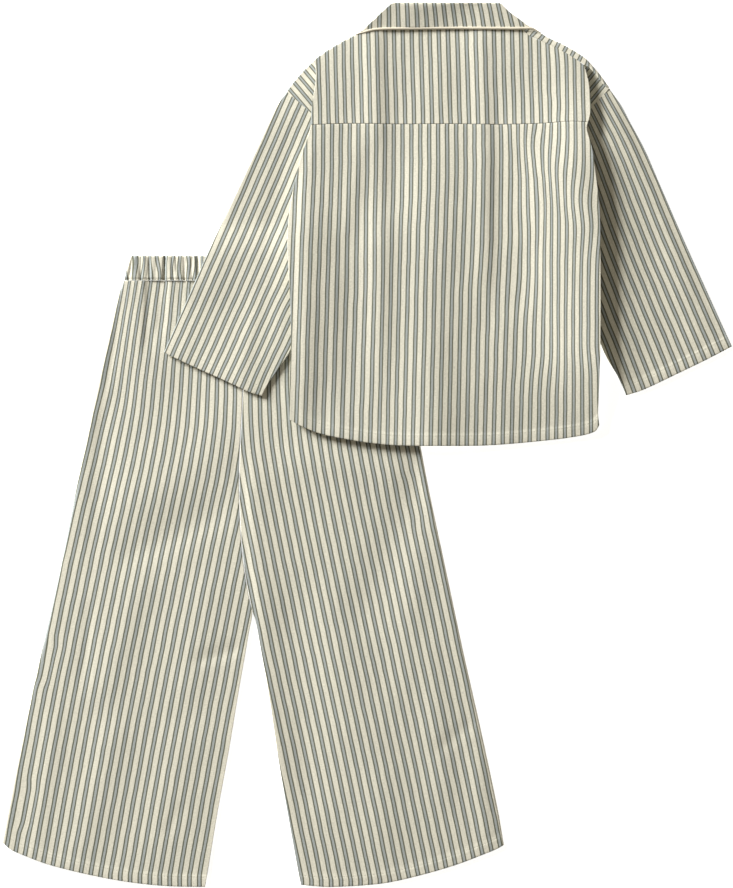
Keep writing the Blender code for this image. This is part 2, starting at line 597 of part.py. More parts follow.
def make_collar(bed, collection):
    """The back of the collar: a leaf folded down over its stand. The surface runs from the leaf's
    edge up to the roll, round it and down the stand to the neck seam. Returns the leaf's height."""
    stand_edge = [(x, y - COLLAR_NECK_GAP) for x, y in NECK_SEAM]
    leaf = {"top": COLLAR_ROLL, "bottom": COLLAR_EDGE, "left": COLLAR_LEFT, "right": COLLAR_RIGHT}
    stand = {"top": COLLAR_ROLL, "bottom": stand_edge, "left": [COLLAR_ROLL[0], stand_edge[0]],
             "right": [COLLAR_ROLL[-1], stand_edge[-1]]}
    stand_face = WALL + LOFT
    leaf_face = WALL + LOFT + WALL + SHIRT_LIFT + LOFT + WALL
    turn = (leaf_face - stand_face) / 2
    leaf_points = collar_half(leaf, bed, leaf_face, turn)
    stand_points = collar_half(stand, bed, stand_face, -turn)
    surface = np.concatenate([leaf_points[::-1], stand_points[1:]])
    finish = material("collar_cotton", COTTON_COLOUR, COTTON_ROUGHNESS)
    cloth_wall("collar", surface[::-1], finish, collection)
    return leaf_face


def make_piping(bed, leaf_face, collection):
    """A covered cord sewn along the leaf's edge."""
    places = along(smooth_line(PIPING_LINE), np.linspace(0, 1, PIPING_POINTS))
    height = bed(places) + leaf_face - PIPING_DROP
    curve = bpy.data.curves.new("collar_piping", "CURVE")
    curve.dimensions = "3D"
    curve.bevel_depth = PIPING_RADIUS * TO_METRES
    curve.bevel_resolution = 2
    curve.use_fill_caps = True
    spline = curve.splines.new("POLY")
    spline.points.add(len(places) - 1)
    for point, (x, y), z in zip(spline.points, places, height):
        point.co = ((x - LAYOUT_MIDDLE[0]) * TO_METRES, (LAYOUT_MIDDLE[1] - y) * TO_METRES,
                    z * TO_METRES, 1.0)
    curve.materials.append(material("piping_cotton", PIPING_COLOUR, COTTON_ROUGHNESS))
    collection.objects.link(bpy.data.objects.new("collar_piping", curve))


def build():
    clear_scene()
    collection = new_collection("pyjama_set")

    pile = Pile()
    for side, folds in (("left", LEFT_LEG_FOLDS), ("right", RIGHT_LEG_FOLDS)):
        pile.add(make_leg(side, folds, collection))
    pile.add(make_waistband(collection))

    on_trousers = pile.bed()
    sleeve_finish = material("sleeve_cotton", COTTON_COLOUR, COTTON_ROUGHNESS)
    for side, shoulder, sleeve, folds in (
            ("left", LEFT_SHOULDER, LEFT_SLEEVE, LEFT_SLEEVE_FOLDS),
            ("right", RIGHT_SHOULDER, RIGHT_SLEEVE, RIGHT_SLEEVE_FOLDS)):
        pile.add(flat_tube(f"shoulder_{side}", shoulder, SHOULDER_GRID, [], table, sleeve_finish,
                           collection))
        pile.add(flat_tube(f"sleeve_{side}", sleeve, SLEEVE_GRID, folds, on_trousers, sleeve_finish,
                           collection))

    for number, y in enumerate(BUTTON_ROWS_Y, start=1):
        make_button(number, y, collection)
    pile.add(button_row_surface())
    leaf_finish = material("collar_front_cotton", COTTON_COLOUR, COTTON_ROUGHNESS)
    for side in ("left", "right"):
        pile.add(under_panel(f"collar_front_{side}", leaf_outline(side), COLLAR_GRID, {}, table,
                             leaf_finish, collection))

    on_everything = pile.bed()
    make_shirt_body(on_everything, collection)
    make_rolled_shoulder(on_everything, collection)
    leaf_face = make_collar(on_everything, collection)
    make_piping(on_everything, leaf_face, collection)


build()
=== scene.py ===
"""A two-piece pyjama set laid out flat with its back side up: the cloth and finish of every piece.

Places are millimetres from the top left corner of the layout, x across and y down the garments.
Heights are millimetres above the table. Each piece is a grid of points worked out as whole arrays,
rows down the piece and columns across it.
"""

import bpy
import numpy as np
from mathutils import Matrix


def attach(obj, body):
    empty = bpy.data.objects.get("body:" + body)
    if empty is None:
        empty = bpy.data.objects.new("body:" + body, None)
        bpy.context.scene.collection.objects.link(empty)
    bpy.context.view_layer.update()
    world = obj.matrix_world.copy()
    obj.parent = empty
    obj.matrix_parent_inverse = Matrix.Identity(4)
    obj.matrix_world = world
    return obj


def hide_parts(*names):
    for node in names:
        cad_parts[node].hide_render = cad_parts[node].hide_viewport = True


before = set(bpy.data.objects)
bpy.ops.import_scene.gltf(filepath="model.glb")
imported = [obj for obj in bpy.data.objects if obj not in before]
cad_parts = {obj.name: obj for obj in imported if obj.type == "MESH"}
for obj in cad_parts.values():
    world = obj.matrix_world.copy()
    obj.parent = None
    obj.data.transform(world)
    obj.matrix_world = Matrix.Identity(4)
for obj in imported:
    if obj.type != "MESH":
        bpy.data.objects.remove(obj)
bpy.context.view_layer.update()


# ---- The trouser legs ----
# Four panels of yarn-dyed cotton ticking, a front and a back for each leg, sewn at the outer side, the
# inseam and the seat. The backs lie uppermost. Each hem is turned up and stitched, and the cloth
# settles in a few long soft creases from the seat down.

MILLIMETRE = 0.001
LAYOUT_MIDDLE = (367.0, 445.0)   # the place on the layout that lies at the origin
CLOTH = 0.6                      # one layer of the cotton with its nap
TWO_LAYERS = 2.9                 # face of an upper layer over what the garment lies on
RIM = 1.1                        # the same at a sewn side, where it rolls down to the lower layer
ROLL = 2.2                       # how far in from a sewn side that roll starts
INNER_ROLL = 0.2                 # and where the two legs meet
LOWER_INSET = 1.2                # how far a lower layer stays inside the upper one's outline
CELL = 2.6                       # spacing of the points that carry the creases
LOWER_CELL = 5.0
SIDE_ROWS = (0, 0.08, 0.3, 0.65, 1.1, 1.6, 2.2, 3.2)                      # points in from a rolled side
SEAM_ROWS = (0, 0.4, 1.2)                                               # and from a plain seam
HEM_ROWS = (0, 0.3, 0.9, 2.2, 4.5, 7.0, 8.8, 9.5, 10.0, 10.5, 11.2, 13)    # and from a turned hem
HEM_DEPTH = 10.0
HEM_BULK = 0.5                   # height that the turned-up layer adds
HEM_GROOVE = 0.25                # depth of the line that the stitches pull in
HEM_GROOVE_WIDTH = 0.7
HEM_STEP = 2.5                   # over which the turned-up layer ends
HEM_FOLD = 1.0                   # how far in from the edge its fold is round
SETTLE = 12.0                    # how far in from a side the creases reach their full height
INNER_SHARE = 0.7                # share of the roll where the two legs meet
LEG_GATHERS = 0.55               # height of the gathers just below the waistband
GATHERS_MIDDLE = 0.6             # the gathers' height there is counted from this
STITCH_SINK = (0, 0, 0.14)       # how far a stitch's middle lies below the cloth's face
REPEAT = 9.0                     # one stripe and one ground of the ticking
TROUSERS_TOP_Y = 280.8           # where the legs are sewn to the waistband
SEAT_LAP = 0.6                   # how far apart the two legs lie along the seat seam

LEFT_LEG_OUTER = [(123.6, 280.8), (117, 300), (103, 360), (90, 420), (76, 490), (60, 570),
                  (42, 650), (24, 730), (8, 810), (2, 842)]
LEFT_LEG_HEM = [(2, 842), (9, 848.5), (20, 854), (53, 866), (115, 880), (164, 886), (205, 887)]
SEAT_SEAM = [(250, 280.8), (245, 340), (242.3, 400), (239.6, 450), (238.9, 490), (240.3, 530),
             (243.5, 565), (247.5, 590), (250, 602), (252.3, 613)]
LEFT_INSEAM = [(249, 632), (246, 650), (239, 690), (229, 750), (218, 810), (208, 870), (205, 887)]
RIGHT_INSEAM = [(255.5, 620), (261, 650), (268, 690), (277, 750), (287, 810), (298, 870), (301, 885)]
RIGHT_LEG_OUTER = [(382.4, 280.8), (389, 300), (403, 360), (416, 420), (421, 448), (429, 490),
                   (446, 570), (463, 650), (481, 730), (498, 810), (504, 845)]
RIGHT_LEG_HEM = [(301, 885), (330, 887), (379, 884), (410, 878), (453, 866), (485, 854),
                 (497, 849), (504, 845)]

# How the stripes lie on a piece: the way that one stripe takes down the cloth, the spacing of the
# stripes across it at some heights of the layout, and the pulls, where a fold draws them aside.
LEFT_LEG_LIE = {
    "stripe": [(189.5, 281), (183.3, 360), (176, 440), (151, 560), (123, 700), (91, 875)],
    "spacing": [(281, 7.6), (360, 8.7), (440, 9.5), (520, 9.8), (880, 9.9)],
    "pulls": [(118, 200, 112, 440, 0, 20, 14, 3.4), (58, 634, 40, 690, 0, 9, 9, 2.0),
              (32, 776, 20, 836, 0, 8, 10, 2.0)]}
RIGHT_LEG_LIE = {
    "stripe": [(310, 281), (316, 400), (323, 460), (351, 600), (385, 760), (410, 880)],
    "spacing": [(281, 7.8), (400, 9.3), (470, 9.7), (880, 9.8)],
    "pulls": [(404, 470, 420, 530, 0, 9, 9, 1.5)]}

# Creases: a ridge, or a trough where the height is below 0, runs from one place to a lower one. Its
# middle is bowed to the right by `bow`, and its two flanks fall off over `left` and `right`.
LEFT_LEG_CREASES = [
    # x_from y_from x_to y_to bow left right height
    (137, 230, 142, 440, 2, 14, 26, 0.7),
    (206, 230, 180, 440, 0, 60, 40, -1.6),
    (150, 262, 144, 362, 0, 2.6, 12, -1.0),
    (163, 262, 157, 342, 0, 2.2, 8, -0.6),
    (171, 270, 167, 350, 1, 6, 6, 0.5),
    (186, 270, 182, 335, 0, 6, 6, 0.4),
    (124, 262, 104, 400, 0, 5, 5, -0.9),
    (104, 380, 90, 590, 2, 10, 16, -1.0),
    (242, 436, 100, 516, 4, 30, 24, 1.2),
    (242, 500, 96, 568, 4, 19, 14, -1.2),
    (150, 560, 96, 720, -3, 18, 14, 0.9),
    (212, 560, 180, 720, 3, 18, 20, 0.8),
    (252, 646, 186, 664, 0, 9, 6, -0.9),
    (92, 590, 80, 700, 0, 6, 6, -0.6),
    (118, 700, 70, 880, 3, 15, 17, 0.9),
    (186, 710, 158, 880, -2, 20, 22, 0.8),
    (60, 690, 30, 880, 0, 10, 10, 0.7),
    (186, 800, 162, 840, 0, 6, 6, -0.4),
]
RIGHT_LEG_CREASES = [
    (252, 440, 264, 650, -3, 8, 20, 1.2),
    (288, 560, 318, 830, -2, 22, 26, -1.3),
    (296, 700, 312, 820, 0, 9, 12, -0.5),
    (270, 462, 420, 482, 6, 18, 26, 1.2),
    (430, 440, 346, 650, 5, 20, 24, -1.3),
    (416, 520, 400, 720, 2, 16, 14, 0.7),
    (426, 620, 448, 830, 0, 14, 11, 0.8),
    (330, 560, 352, 780, 0, 20, 18, 0.7),
    (482, 716, 430, 756, 0, 8, 7, -0.6),
    (368, 680, 386, 880, 0, 18, 20, 0.8),
    (474, 740, 490, 860, 0, 9, 9, 0.8),
]


def drawn_line(places, steps=16):
    """Cubic curve through the places; its slope at a place is the mean of the two chords beside it,
    each weighted by its length."""
    knots = np.array(places, float)
    length = np.hypot(*np.diff(knots, axis=0).T)[:, None]
    chord = np.diff(knots, axis=0) / length
    inner = (knots[2:] - knots[:-2]) / (length[1:] + length[:-1])
    slope = np.vstack([chord[:1], inner, chord[-1:]])
    t = np.linspace(0, 1, steps, endpoint=False)[None, :, None]
    start, end = knots[:-1, None], knots[1:, None]
    leave, arrive = (slope[:-1] * length)[:, None], (slope[1:] * length)[:, None]
    curve = ((2 * t**3 - 3 * t**2 + 1) * start + (t**3 - 2 * t**2 + t) * leave
             + (3 * t**2 - 2 * t**3) * end + (t**3 - t**2) * arrive)
    return np.vstack([curve.reshape(-1, knots.shape[1]), knots[-1:]])


def travelled_along(line):
    """How far along a line each of its places lies."""
    return np.concatenate([[0], np.cumsum(np.linalg.norm(np.diff(line, axis=0), axis=1))])


def measured_along(line, shares):
    """Places on a line at shares of its length, from 0 to 1; shares may be an array of any shape."""
    travelled = travelled_along(line)
    travelled /= travelled[-1]
    return np.stack([np.interp(shares, travelled, line[:, axis]) for axis in range(line.shape[1])], -1)


def inside_edges(edges, u, v):
    """Places between four edges (a Coons patch): the surface ruled from top to bottom plus the one
    ruled from left to right, less the one that the corners span. u runs left to right, v down."""
    top, bottom, left, right = (drawn_line(edges[side]) for side in ("top", "bottom", "left", "right"))
    across, down = u[..., None], v[..., None]
    ruled_down = (1 - down) * measured_along(top, u) + down * measured_along(bottom, u)
    ruled_across = (1 - across) * measured_along(left, v) + across * measured_along(right, v)
    corners = ((1 - across) * (1 - down) * top[0] + across * (1 - down) * top[-1]
               + (1 - across) * down * bottom[0] + across * down * bottom[-1])
    return ruled_down + ruled_across - corners


def point_shares(length, cell, first=(0,), last=(0,)):
    """Shares of a length for a row of points: those at the distances `first` from its start, even
    cells of about `cell`, and those at the distances `last` from its end. `length` may be an array,
    and each of its rows gets the same number of points."""
    length = np.atleast_1d(length)[:, None]
    start = np.array([first]) / length
    end = 1 - np.array([last[::-1]]) / length
    even = np.linspace(0, 1, max(3, round(float(np.median(length)) / cell)))[1:-1]
    middle = start[:, -1:] + (end[:, :1] - start[:, -1:]) * even
    return np.concatenate([start, middle, end], axis=1)


def cut_panel(edges, cell, rows=None, inset=None):
    """Places of a panel's points. `rows` gives, side by side, the distances of the close rows beside
    it, and `inset` how far the panel stays inside its edges."""
    close = {side: (rows or {}).get(side, (0,)) for side in ("top", "bottom", "left", "right")}
    for side, margin in (inset or {}).items():
        close[side] = tuple(margin + distance for distance in close[side])
    left, right = drawn_line(edges["left"]), drawn_line(edges["right"])
    tall = np.hypot(*np.diff(left, axis=0).T).sum()
    down = point_shares(tall, cell, close["top"], close["bottom"])[0]
    wide = np.hypot(*(measured_along(right, down) - measured_along(left, down)).T)
    across = point_shares(wide, cell, close["left"], close["right"])
    return inside_edges(edges, across, np.repeat(down[:, None], across.shape[1], axis=1))


def distances_from_sides(points):
    """For every point its distance, along its row or column, from each of the four sides, and from
    the nearer of left and right."""
    across = np.linalg.norm(np.diff(points, axis=1), axis=-1)
    down = np.linalg.norm(np.diff(points, axis=0), axis=-1)
    from_left = np.pad(np.cumsum(across, axis=1), ((0, 0), (1, 0)))
    from_top = np.pad(np.cumsum(down, axis=0), ((1, 0), (0, 0)))
    from_right = from_left[:, -1:] - from_left
    return {"left": from_left, "right": from_right, "nearer": np.minimum(from_left, from_right),
            "top": from_top, "bottom": from_top[-1:] - from_top}


def eased(share):
    """Smooth step from 0 to 1."""
    share = np.clip(share, 0, 1)
    return share * share * (3 - 2 * share)


def rolled_down(distance, depth, radius=ROLL):
    """Quarter-ellipse drop beside a side: `depth` at the side, none from `radius` inwards."""
    inwards = np.clip(distance / radius, 0, 1)
    return depth * (1 - np.sqrt(1 - (1 - inwards) ** 2))


def soft_creases(points, creases):
    """Sum of the ridges and troughs in a table. Each is a bell across its bowed middle line, of
    another width on either side, and fades out over the first and last quarter of its length."""
    total = np.zeros(points.shape[:-1])
    for x_from, y_from, x_to, y_to, bow, left, right, height in creases:
        run = np.array([x_to - x_from, y_to - y_from], float)
        length = np.hypot(*run)
        offset = points[..., :2] - (x_from, y_from)
        share = (offset @ run) / length**2
        across = (offset[..., 0] * run[1] - offset[..., 1] * run[0]) / length
        across = across - 4 * bow * share * (1 - share)
        width = np.where(across < 0, left, right)
        fade = eased(share / 0.25) * eased((1 - share) / 0.25)
        total += height * np.exp(-(across / width) ** 2) * fade
    return total


def unevenness(points, height, seed):
    """The small waves of cloth that was smoothed by hand: nine sine waves of 20 to 90 mm in random
    directions, the long ones highest."""
    chance = np.random.default_rng(seed)
    length = np.linspace(20, 90, 9)
    turn = chance.uniform(-0.9, 0.9, 9)
    start = chance.uniform(0, 2 * np.pi, 9)
    phase = 2 * np.pi * (points[..., :1] * np.cos(turn) + points[..., 1:2] * np.sin(turn)) / length
    return (np.sin(phase + start) * length / 90).sum(axis=-1) * height


def turned_hem(distance):
    """Height that a turned hem adds: the doubled cloth up to its stitches, the groove that these pull
    in, and a round fold at the edge."""
    bulk = HEM_BULK * (1 - eased((distance - HEM_DEPTH) / HEM_STEP))
    groove = HEM_GROOVE * np.exp(-((distance - HEM_DEPTH) / HEM_GROOVE_WIDTH) ** 2)
    return bulk - groove - rolled_down(distance, HEM_BULK, HEM_FOLD)


def stripe_numbers(points, lie):
    """Number of the stripe at each place: how many spacings it lies to the right of the guide stripe,
    once the pulls, read like creases but sideways, are taken back. Both the guide stripe and the
    spacing run smoothly through their listed places."""
    guide = drawn_line([(y, x) for x, y in lie["stripe"]])
    spacing = drawn_line(lie["spacing"])
    pulled = soft_creases(points, lie.get("pulls", []))
    from_guide = points[..., 0] - pulled - np.interp(points[..., 1], *guide.T)
    return from_guide / np.interp(points[..., 1], *spacing.T)


def node(tree, kind, inputs=(), **settings):
    """Adds a shader node; an input is given a value or the socket that feeds it."""
    made = tree.nodes.new(kind)
    for name, value in settings.items():
        setattr(made, name, value)
    for name, value in dict(inputs).items():
        if isinstance(value, bpy.types.NodeSocket):
            tree.links.new(value, made.inputs[name])
        else:
            made.inputs[name].default_value = value
    return made


def new_finish(name, settings):
    """A new material with its node tree and its shader, on whose sockets the settings stand."""
    finish = bpy.data.materials.new(name)
    finish.use_nodes = True
    shader = finish.node_tree.nodes["Principled BSDF"]
    for socket, value in settings.items():
        shader.inputs[socket].default_value = value
    return finish, finish.node_tree, shader


def colours_along(tree, amount, stops):
    """The colour that an amount picks: each stop is a place on its scale and the colour there."""
    ramp = node(tree, "ShaderNodeValToRGB", {"Fac": amount})
    for place, _ in stops[2:]:
        ramp.color_ramp.elements.new(place)
    for element, (place, colour) in zip(ramp.color_ramp.elements, stops):
        element.position = place
        element.color = colour
    return ramp.outputs["Color"]


def clouded_finish(name, settings, noise, tones):
    """A finish in tones that run into each other in clouds, as large and rough as the noise says."""
    finish, tree, shader = new_finish(name, settings)
    place = node(tree, "ShaderNodeTexCoord").outputs["Object"]
    clouds = node(tree, "ShaderNodeTexNoise", {"Vector": place, **noise})
    tree.links.new(colours_along(tree, clouds.outputs["Fac"], tones), shader.inputs["Base Color"])
    return finish


def yarn_streaks(tree, weave, scale, least, most):
    """Light and dark yarns: noise drawn out along one way of the weave, as a factor on the colour."""
    drawn_out = node(tree, "ShaderNodeVectorMath", {0: weave, 1: scale}, operation="MULTIPLY")
    noise = node(tree, "ShaderNodeTexNoise", {"Vector": drawn_out.outputs[0], "Scale": 1.0,
                                              "Detail": 2.0}, noise_dimensions="2D")
    return node(tree, "ShaderNodeMapRange", {"Value": noise.outputs["Fac"], "From Min": 0.25,
                                             "From Max": 0.75, "To Min": least, "To Max": most})


def striped_cotton():
    """Ticking in a fine twill. The weave map counts the stripes across and the repeats along; the
    distance from the nearest stripe's middle picks its blue-grey, its dark edge yarns or the ground."""
    finish, tree, shader = new_finish("striped_cotton", {
        "Roughness": 0.88, "Specular IOR Level": 0.25, "Sheen Weight": 0.12, "Sheen Roughness": 0.5})
    weave = node(tree, "ShaderNodeUVMap", uv_map="weave").outputs["UV"]
    wander = node(tree, "ShaderNodeTexNoise", {"Vector": weave, "Scale": 0.3, "Detail": 2.0,
                                               "Roughness": 0.55}, noise_dimensions="2D")
    count = node(tree, "ShaderNodeSeparateXYZ", {"Vector": weave}).outputs["X"]
    moved = node(tree, "ShaderNodeMath", {0: wander.outputs["Fac"], 1: 0.10, 2: count},
                 operation="MULTIPLY_ADD")
    from_stripe = node(tree, "ShaderNodeMath", {0: moved.outputs[0], 1: 0.5}, operation="PINGPONG")
    dyed = colours_along(tree, from_stripe.outputs[0], STRIPE_TONES)
    warp = yarn_streaks(tree, weave, (9.0, 0.35, 1.0), 0.94, 1.05)
    fine_warp = yarn_streaks(tree, weave, (14.0, 3.0, 1.0), 0.92, 1.07)
    weft = yarn_streaks(tree, weave, (4.0, 9.0, 1.0), 0.91, 1.08)
    yarns = node(tree, "ShaderNodeMath", {0: warp.outputs[0], 1: fine_warp.outputs[0]},
                 operation="MULTIPLY")
    yarns = node(tree, "ShaderNodeMath", {0: yarns.outputs[0], 1: weft.outputs[0]},
                 operation="MULTIPLY")
    colour = node(tree, "ShaderNodeVectorMath", {0: dyed, "Scale": yarns.outputs[0]},
                  operation="SCALE")
    tree.links.new(colour.outputs[0], shader.inputs["Base Color"])
    twill = node(tree, "ShaderNodeTexWave", {"Vector": weave, "Scale": 5.0, "Distortion": 0.6,
                                             "Detail": 1.0}, bands_direction="DIAGONAL")
    height = node(tree, "ShaderNodeMath", {0: fine_warp.outputs[0], 1: 6.0, 2: twill.outputs["Fac"]},
                  operation="MULTIPLY_ADD")
    bump = node(tree, "ShaderNodeBump", {"Height": height.outputs[0], "Strength": 0.35,
                                         "Distance": 0.05 * MILLIMETRE})
    tree.links.new(bump.outputs[0], shader.inputs["Normal"])
    return finish


def woven(points, numbers):
    """The weave map of a panel: stripe numbers across, repeats down the cloth."""
    return np.stack([numbers, distances_from_sides(points)["top"] / REPEAT], axis=-1)


def with_height(points, height):
    """Places on the layout with a height for each, or one for all."""
    height = np.broadcast_to(height, points.shape[:-1])
    return np.concatenate([points[..., :2], height[..., None]], axis=-1)


def on_layout(points):
    """Metres in the object's frame for places and heights in millimetres."""
    middle_x, middle_y = LAYOUT_MIDDLE
    return (points * (1, -1, 1) + (-middle_x, middle_y, 0)) * MILLIMETRE


def shaped_piece(name, points, faces, finish, weave=None):
    """A smooth mesh of points and faces in one finish, with a weave map where it has one."""
    mesh = bpy.data.meshes.new(name)
    mesh.from_pydata(on_layout(points).reshape(-1, 3).tolist(), [], faces)
    if weave is not None:
        mesh.uv_layers.new(name="weave").data.foreach_set("uv", weave.astype(np.float32).ravel())
    mesh.shade_smooth()
    mesh.materials.append(finish)
    piece = bpy.data.objects.new(name, mesh)
    bpy.context.scene.collection.objects.link(piece)
    return piece


def cloth_piece(name, surface, weave, finish, closed=False, thickness=CLOTH):
    """A shell of cloth with its outer face through the surface's points. A closed one joins its last
    column to its first, and its weave map has one more column."""
    rows, columns = surface.shape[:2]
    down, across = np.meshgrid(np.arange(rows - 1), np.arange(columns - (not closed)), indexing="ij")
    beside = (across + 1) % columns
    corners = np.stack([down * columns + across, (down + 1) * columns + across,
                        (down + 1) * columns + beside, down * columns + beside], axis=-1)
    at_corners = np.stack([weave[down, across], weave[down + 1, across],
                           weave[down + 1, across + 1], weave[down, across + 1]], axis=2)
    piece = shaped_piece(name, surface, corners.reshape(-1, 4).tolist(), finish, at_corners)
    layer = piece.modifiers.new("Cloth thickness", "SOLIDIFY")
    layer.thickness = thickness * MILLIMETRE
    layer.offset = -1.0
    return piece


def tube_faces(rings, around):
    """The faces of a tube by the numbers of its points, which count round each ring and ring by ring:
    its sides, the caps at both ends, and the ring and place where each side starts."""
    ring, place = np.meshgrid(np.arange(rings - 1), np.arange(around), indexing="ij")
    beside = (place + 1) % around
    sides = np.stack([ring * around + place, ring * around + beside, (ring + 1) * around + beside,
                      (ring + 1) * around + place], axis=-1).reshape(-1, 4)
    caps = np.array([np.arange(around)[::-1], np.arange(around) + (rings - 1) * around])
    return sides, caps, ring, place


def sewn_line(name, path, finish, stitch=2.2, gap=0.8, thread=0.18):
    """A row of stitches along a path: each is a six-sided bead of thread, round in section, whose
    rings narrow at both ends, where it goes into the cloth."""
    count = max(1, round(travelled_along(path)[-1] / (stitch + gap)))
    start = measured_along(path, (np.arange(count) + 0.1) / count)
    end = measured_along(path, (np.arange(count) + 0.1 + stitch / (stitch + gap)) / count)
    middle, half = (start + end) / 2, (end - start) / 2
    way = half / np.linalg.norm(half, axis=1)[:, None]
    side = np.cross(way, (0, 0, 1.0))
    above = np.cross(side, way)
    ring_at, ring_radius = np.array([-1, -0.75, 0.75, 1]), thread * np.array([0.4, 1, 1, 0.4])
    turn = np.arange(6) * np.pi / 3
    round_it = (np.cos(turn)[:, None] * side[:, None, None] + np.sin(turn)[:, None] * above[:, None, None])
    points = (middle[:, None, None] + ring_at[:, None, None] * half[:, None, None]
              + ring_radius[:, None, None] * round_it)
    sides, caps, _, _ = tube_faces(len(ring_at), len(turn))
    first = np.arange(count)[:, None, None] * len(ring_at) * len(turn)
    faces = (sides + first).reshape(-1, 4).tolist() + (caps + first).reshape(-1, len(turn)).tolist()
    return shaped_piece(name, points, faces, finish)


def row_at(surface, distance):
    """The line across a panel at a distance from its bottom: in each column the place between the
    last point nearer than that and the next one, by their shares of the way."""
    upwards, from_bottom = surface[::-1], distances_from_sides(surface)["bottom"][::-1]
    column = np.arange(surface.shape[1])
    after = np.argmax(from_bottom >= distance, axis=0)
    near, far = from_bottom[after - 1, column], from_bottom[after, column]
    share = ((distance - near) / (far - near))[:, None]
    return upwards[after - 1, column] * (1 - share) + upwards[after, column] * share


THREAD_TONES = [(0.0, (0.15, 0.15, 0.115, 1)), (1.0, (0.32, 0.31, 0.25, 1))]
STRIPE_BLUE = (0.44, 0.48, 0.48, 1)
STRIPE_EDGE = (0.15, 0.158, 0.115, 1)
GROUND_CREAM = (0.84, 0.82, 0.70, 1)
STRIPE_TONES = [(0.0, STRIPE_BLUE), (0.10, STRIPE_BLUE), (0.13, STRIPE_EDGE), (0.225, STRIPE_EDGE),
                (0.27, GROUND_CREAM), (0.5, GROUND_CREAM)]
ticking = striped_cotton()
# matt cotton thread with the fine lay of its plies
thread = clouded_finish("sewing_thread", {"Roughness": 0.8}, {"Scale": 2500.0, "Detail": 1.0},
                        THREAD_TONES)

WAIST_PITCH = 7.6                # one gather of the elastic waist
WAIST_GATHERS_REACH = 55.0       # how far the gathers run down into the legs


def gathers(points):
    """Upright gathers, one a pitch and none like the next: round ridges with sharp creases between
    them, wandering sideways and of uneven height."""
    x, y = points[..., 0], points[..., 1]
    turn = x / WAIST_PITCH + 0.22 * np.sin(x / 9.7) + 0.12 * np.sin(y / 6.0 + x / 5.0)
    ridge = np.abs(np.cos(np.pi * turn)) ** 0.7
    uneven = 0.8 + 0.35 * np.sin(x / 6.1 + 1.0) * np.sin(x / 14.3)
    return ridge * uneven


legs = {}
for side, outer_edge, inner_edge, hem, creases, lie in (
        ("left", LEFT_LEG_OUTER, SEAT_SEAM + LEFT_INSEAM, LEFT_LEG_HEM, LEFT_LEG_CREASES,
         LEFT_LEG_LIE),
        ("right", RIGHT_LEG_OUTER, [(x + SEAT_LAP, y) for x, y in SEAT_SEAM] + RIGHT_INSEAM,
         RIGHT_LEG_HEM, RIGHT_LEG_CREASES, RIGHT_LEG_LIE)):
    left_edge, right_edge = (outer_edge, inner_edge) if side == "left" else (inner_edge, outer_edge)
    waist = [left_edge[0], ((left_edge[0][0] + right_edge[0][0]) / 2, TROUSERS_TOP_Y), right_edge[0]]
    edges = {"top": waist, "bottom": hem, "left": left_edge, "right": right_edge}
    outer, inner = ("left", "right") if side == "left" else ("right", "left")

    lower = cut_panel(edges, LOWER_CELL, {"bottom": HEM_ROWS}, {outer: LOWER_INSET, inner: LOWER_INSET,
                                                               "bottom": LOWER_INSET})
    front = cloth_piece(f"leg_front_{side}", with_height(lower, CLOTH),
                        woven(lower, stripe_numbers(lower, lie)), ticking)
    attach(front, "root")
    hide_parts(f"trousers_front_{side}")

    upper = cut_panel(edges, CELL, {outer: SIDE_ROWS, inner: SIDE_ROWS, "top": SEAM_ROWS,
                                    "bottom": HEM_ROWS})
    away = distances_from_sides(upper)
    settled = eased(away["nearer"] / SETTLE)
    below_waist = 1 - eased((upper[..., 1] - TROUSERS_TOP_Y) / WAIST_GATHERS_REACH)
    drape = (soft_creases(upper, creases) + unevenness(upper, height=0.055, seed=3)
             + LEG_GATHERS * below_waist ** 2 * (gathers(upper) - GATHERS_MIDDLE))
    height = TWO_LAYERS + settled * drape + turned_hem(away["bottom"])
    height -= rolled_down(away[outer], TWO_LAYERS - RIM)
    height -= rolled_down(away[inner], INNER_SHARE * (TWO_LAYERS - RIM), INNER_ROLL)
    surface = with_height(upper, height)
    back = cloth_piece(f"leg_back_{side}", surface, woven(upper, stripe_numbers(upper, lie)), ticking)
    stitches = sewn_line(f"leg_hem_stitches_{side}", row_at(surface, HEM_DEPTH) - STITCH_SINK, thread)
    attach(back, "root")
    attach(stitches, "root")
    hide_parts(f"trousers_back_{side}")
    legs[side] = surface


# ---- The waistband ----
# A casing of the same ticking round a wide elastic, stitched to the top of the legs. The elastic
# draws the upper half into close upright gathers; the half that it lies on stays flat.

WAIST_MIDDLE_X = 253.0
WAIST_TOP_Y = 255.5
WAIST_SEAM_Y = 280.5
WAIST_HALF = (122.0, 125.5, 129.0)       # half widths at the top, the middle and the seam
WAIST_BULGE_Y = 266.0
WAIST_LOWER_INSET = 2.6
WAIST_CELL = 0.95
WAIST_ROWS = (0, 0.3, 0.9, 1.7)
WAIST_FACE = 2.7                 # face of the upper half between two gathers
WAIST_DEEPEST = 1.3              # the sharpest creases stop on the lower half
GATHER_HEIGHT = 0.95
WAIST_STITCHES = 1.4             # how far above the seam the band is stitched
WAIST_FLATTENED = 0.45           # share of the gathers' height that those stitches take away
WAIST_FLAT_WIDTH = 0.9
WAIST_GROOVE = 0.5               # depth of the line that they pull in
WAIST_GROOVE_WIDTH = 0.7
WAIST_TOP_FALL = (1.2, 1.7)      # how far the band rolls down at its top, and over what width
WAIST_SEAM_FALL = (0.3, 0.9)     # and at its seam
WAIST_SIDE = 0.7                 # height of its sides
WAIST_SETTLE = 5.0               # how far in from there the gathers reach their full height
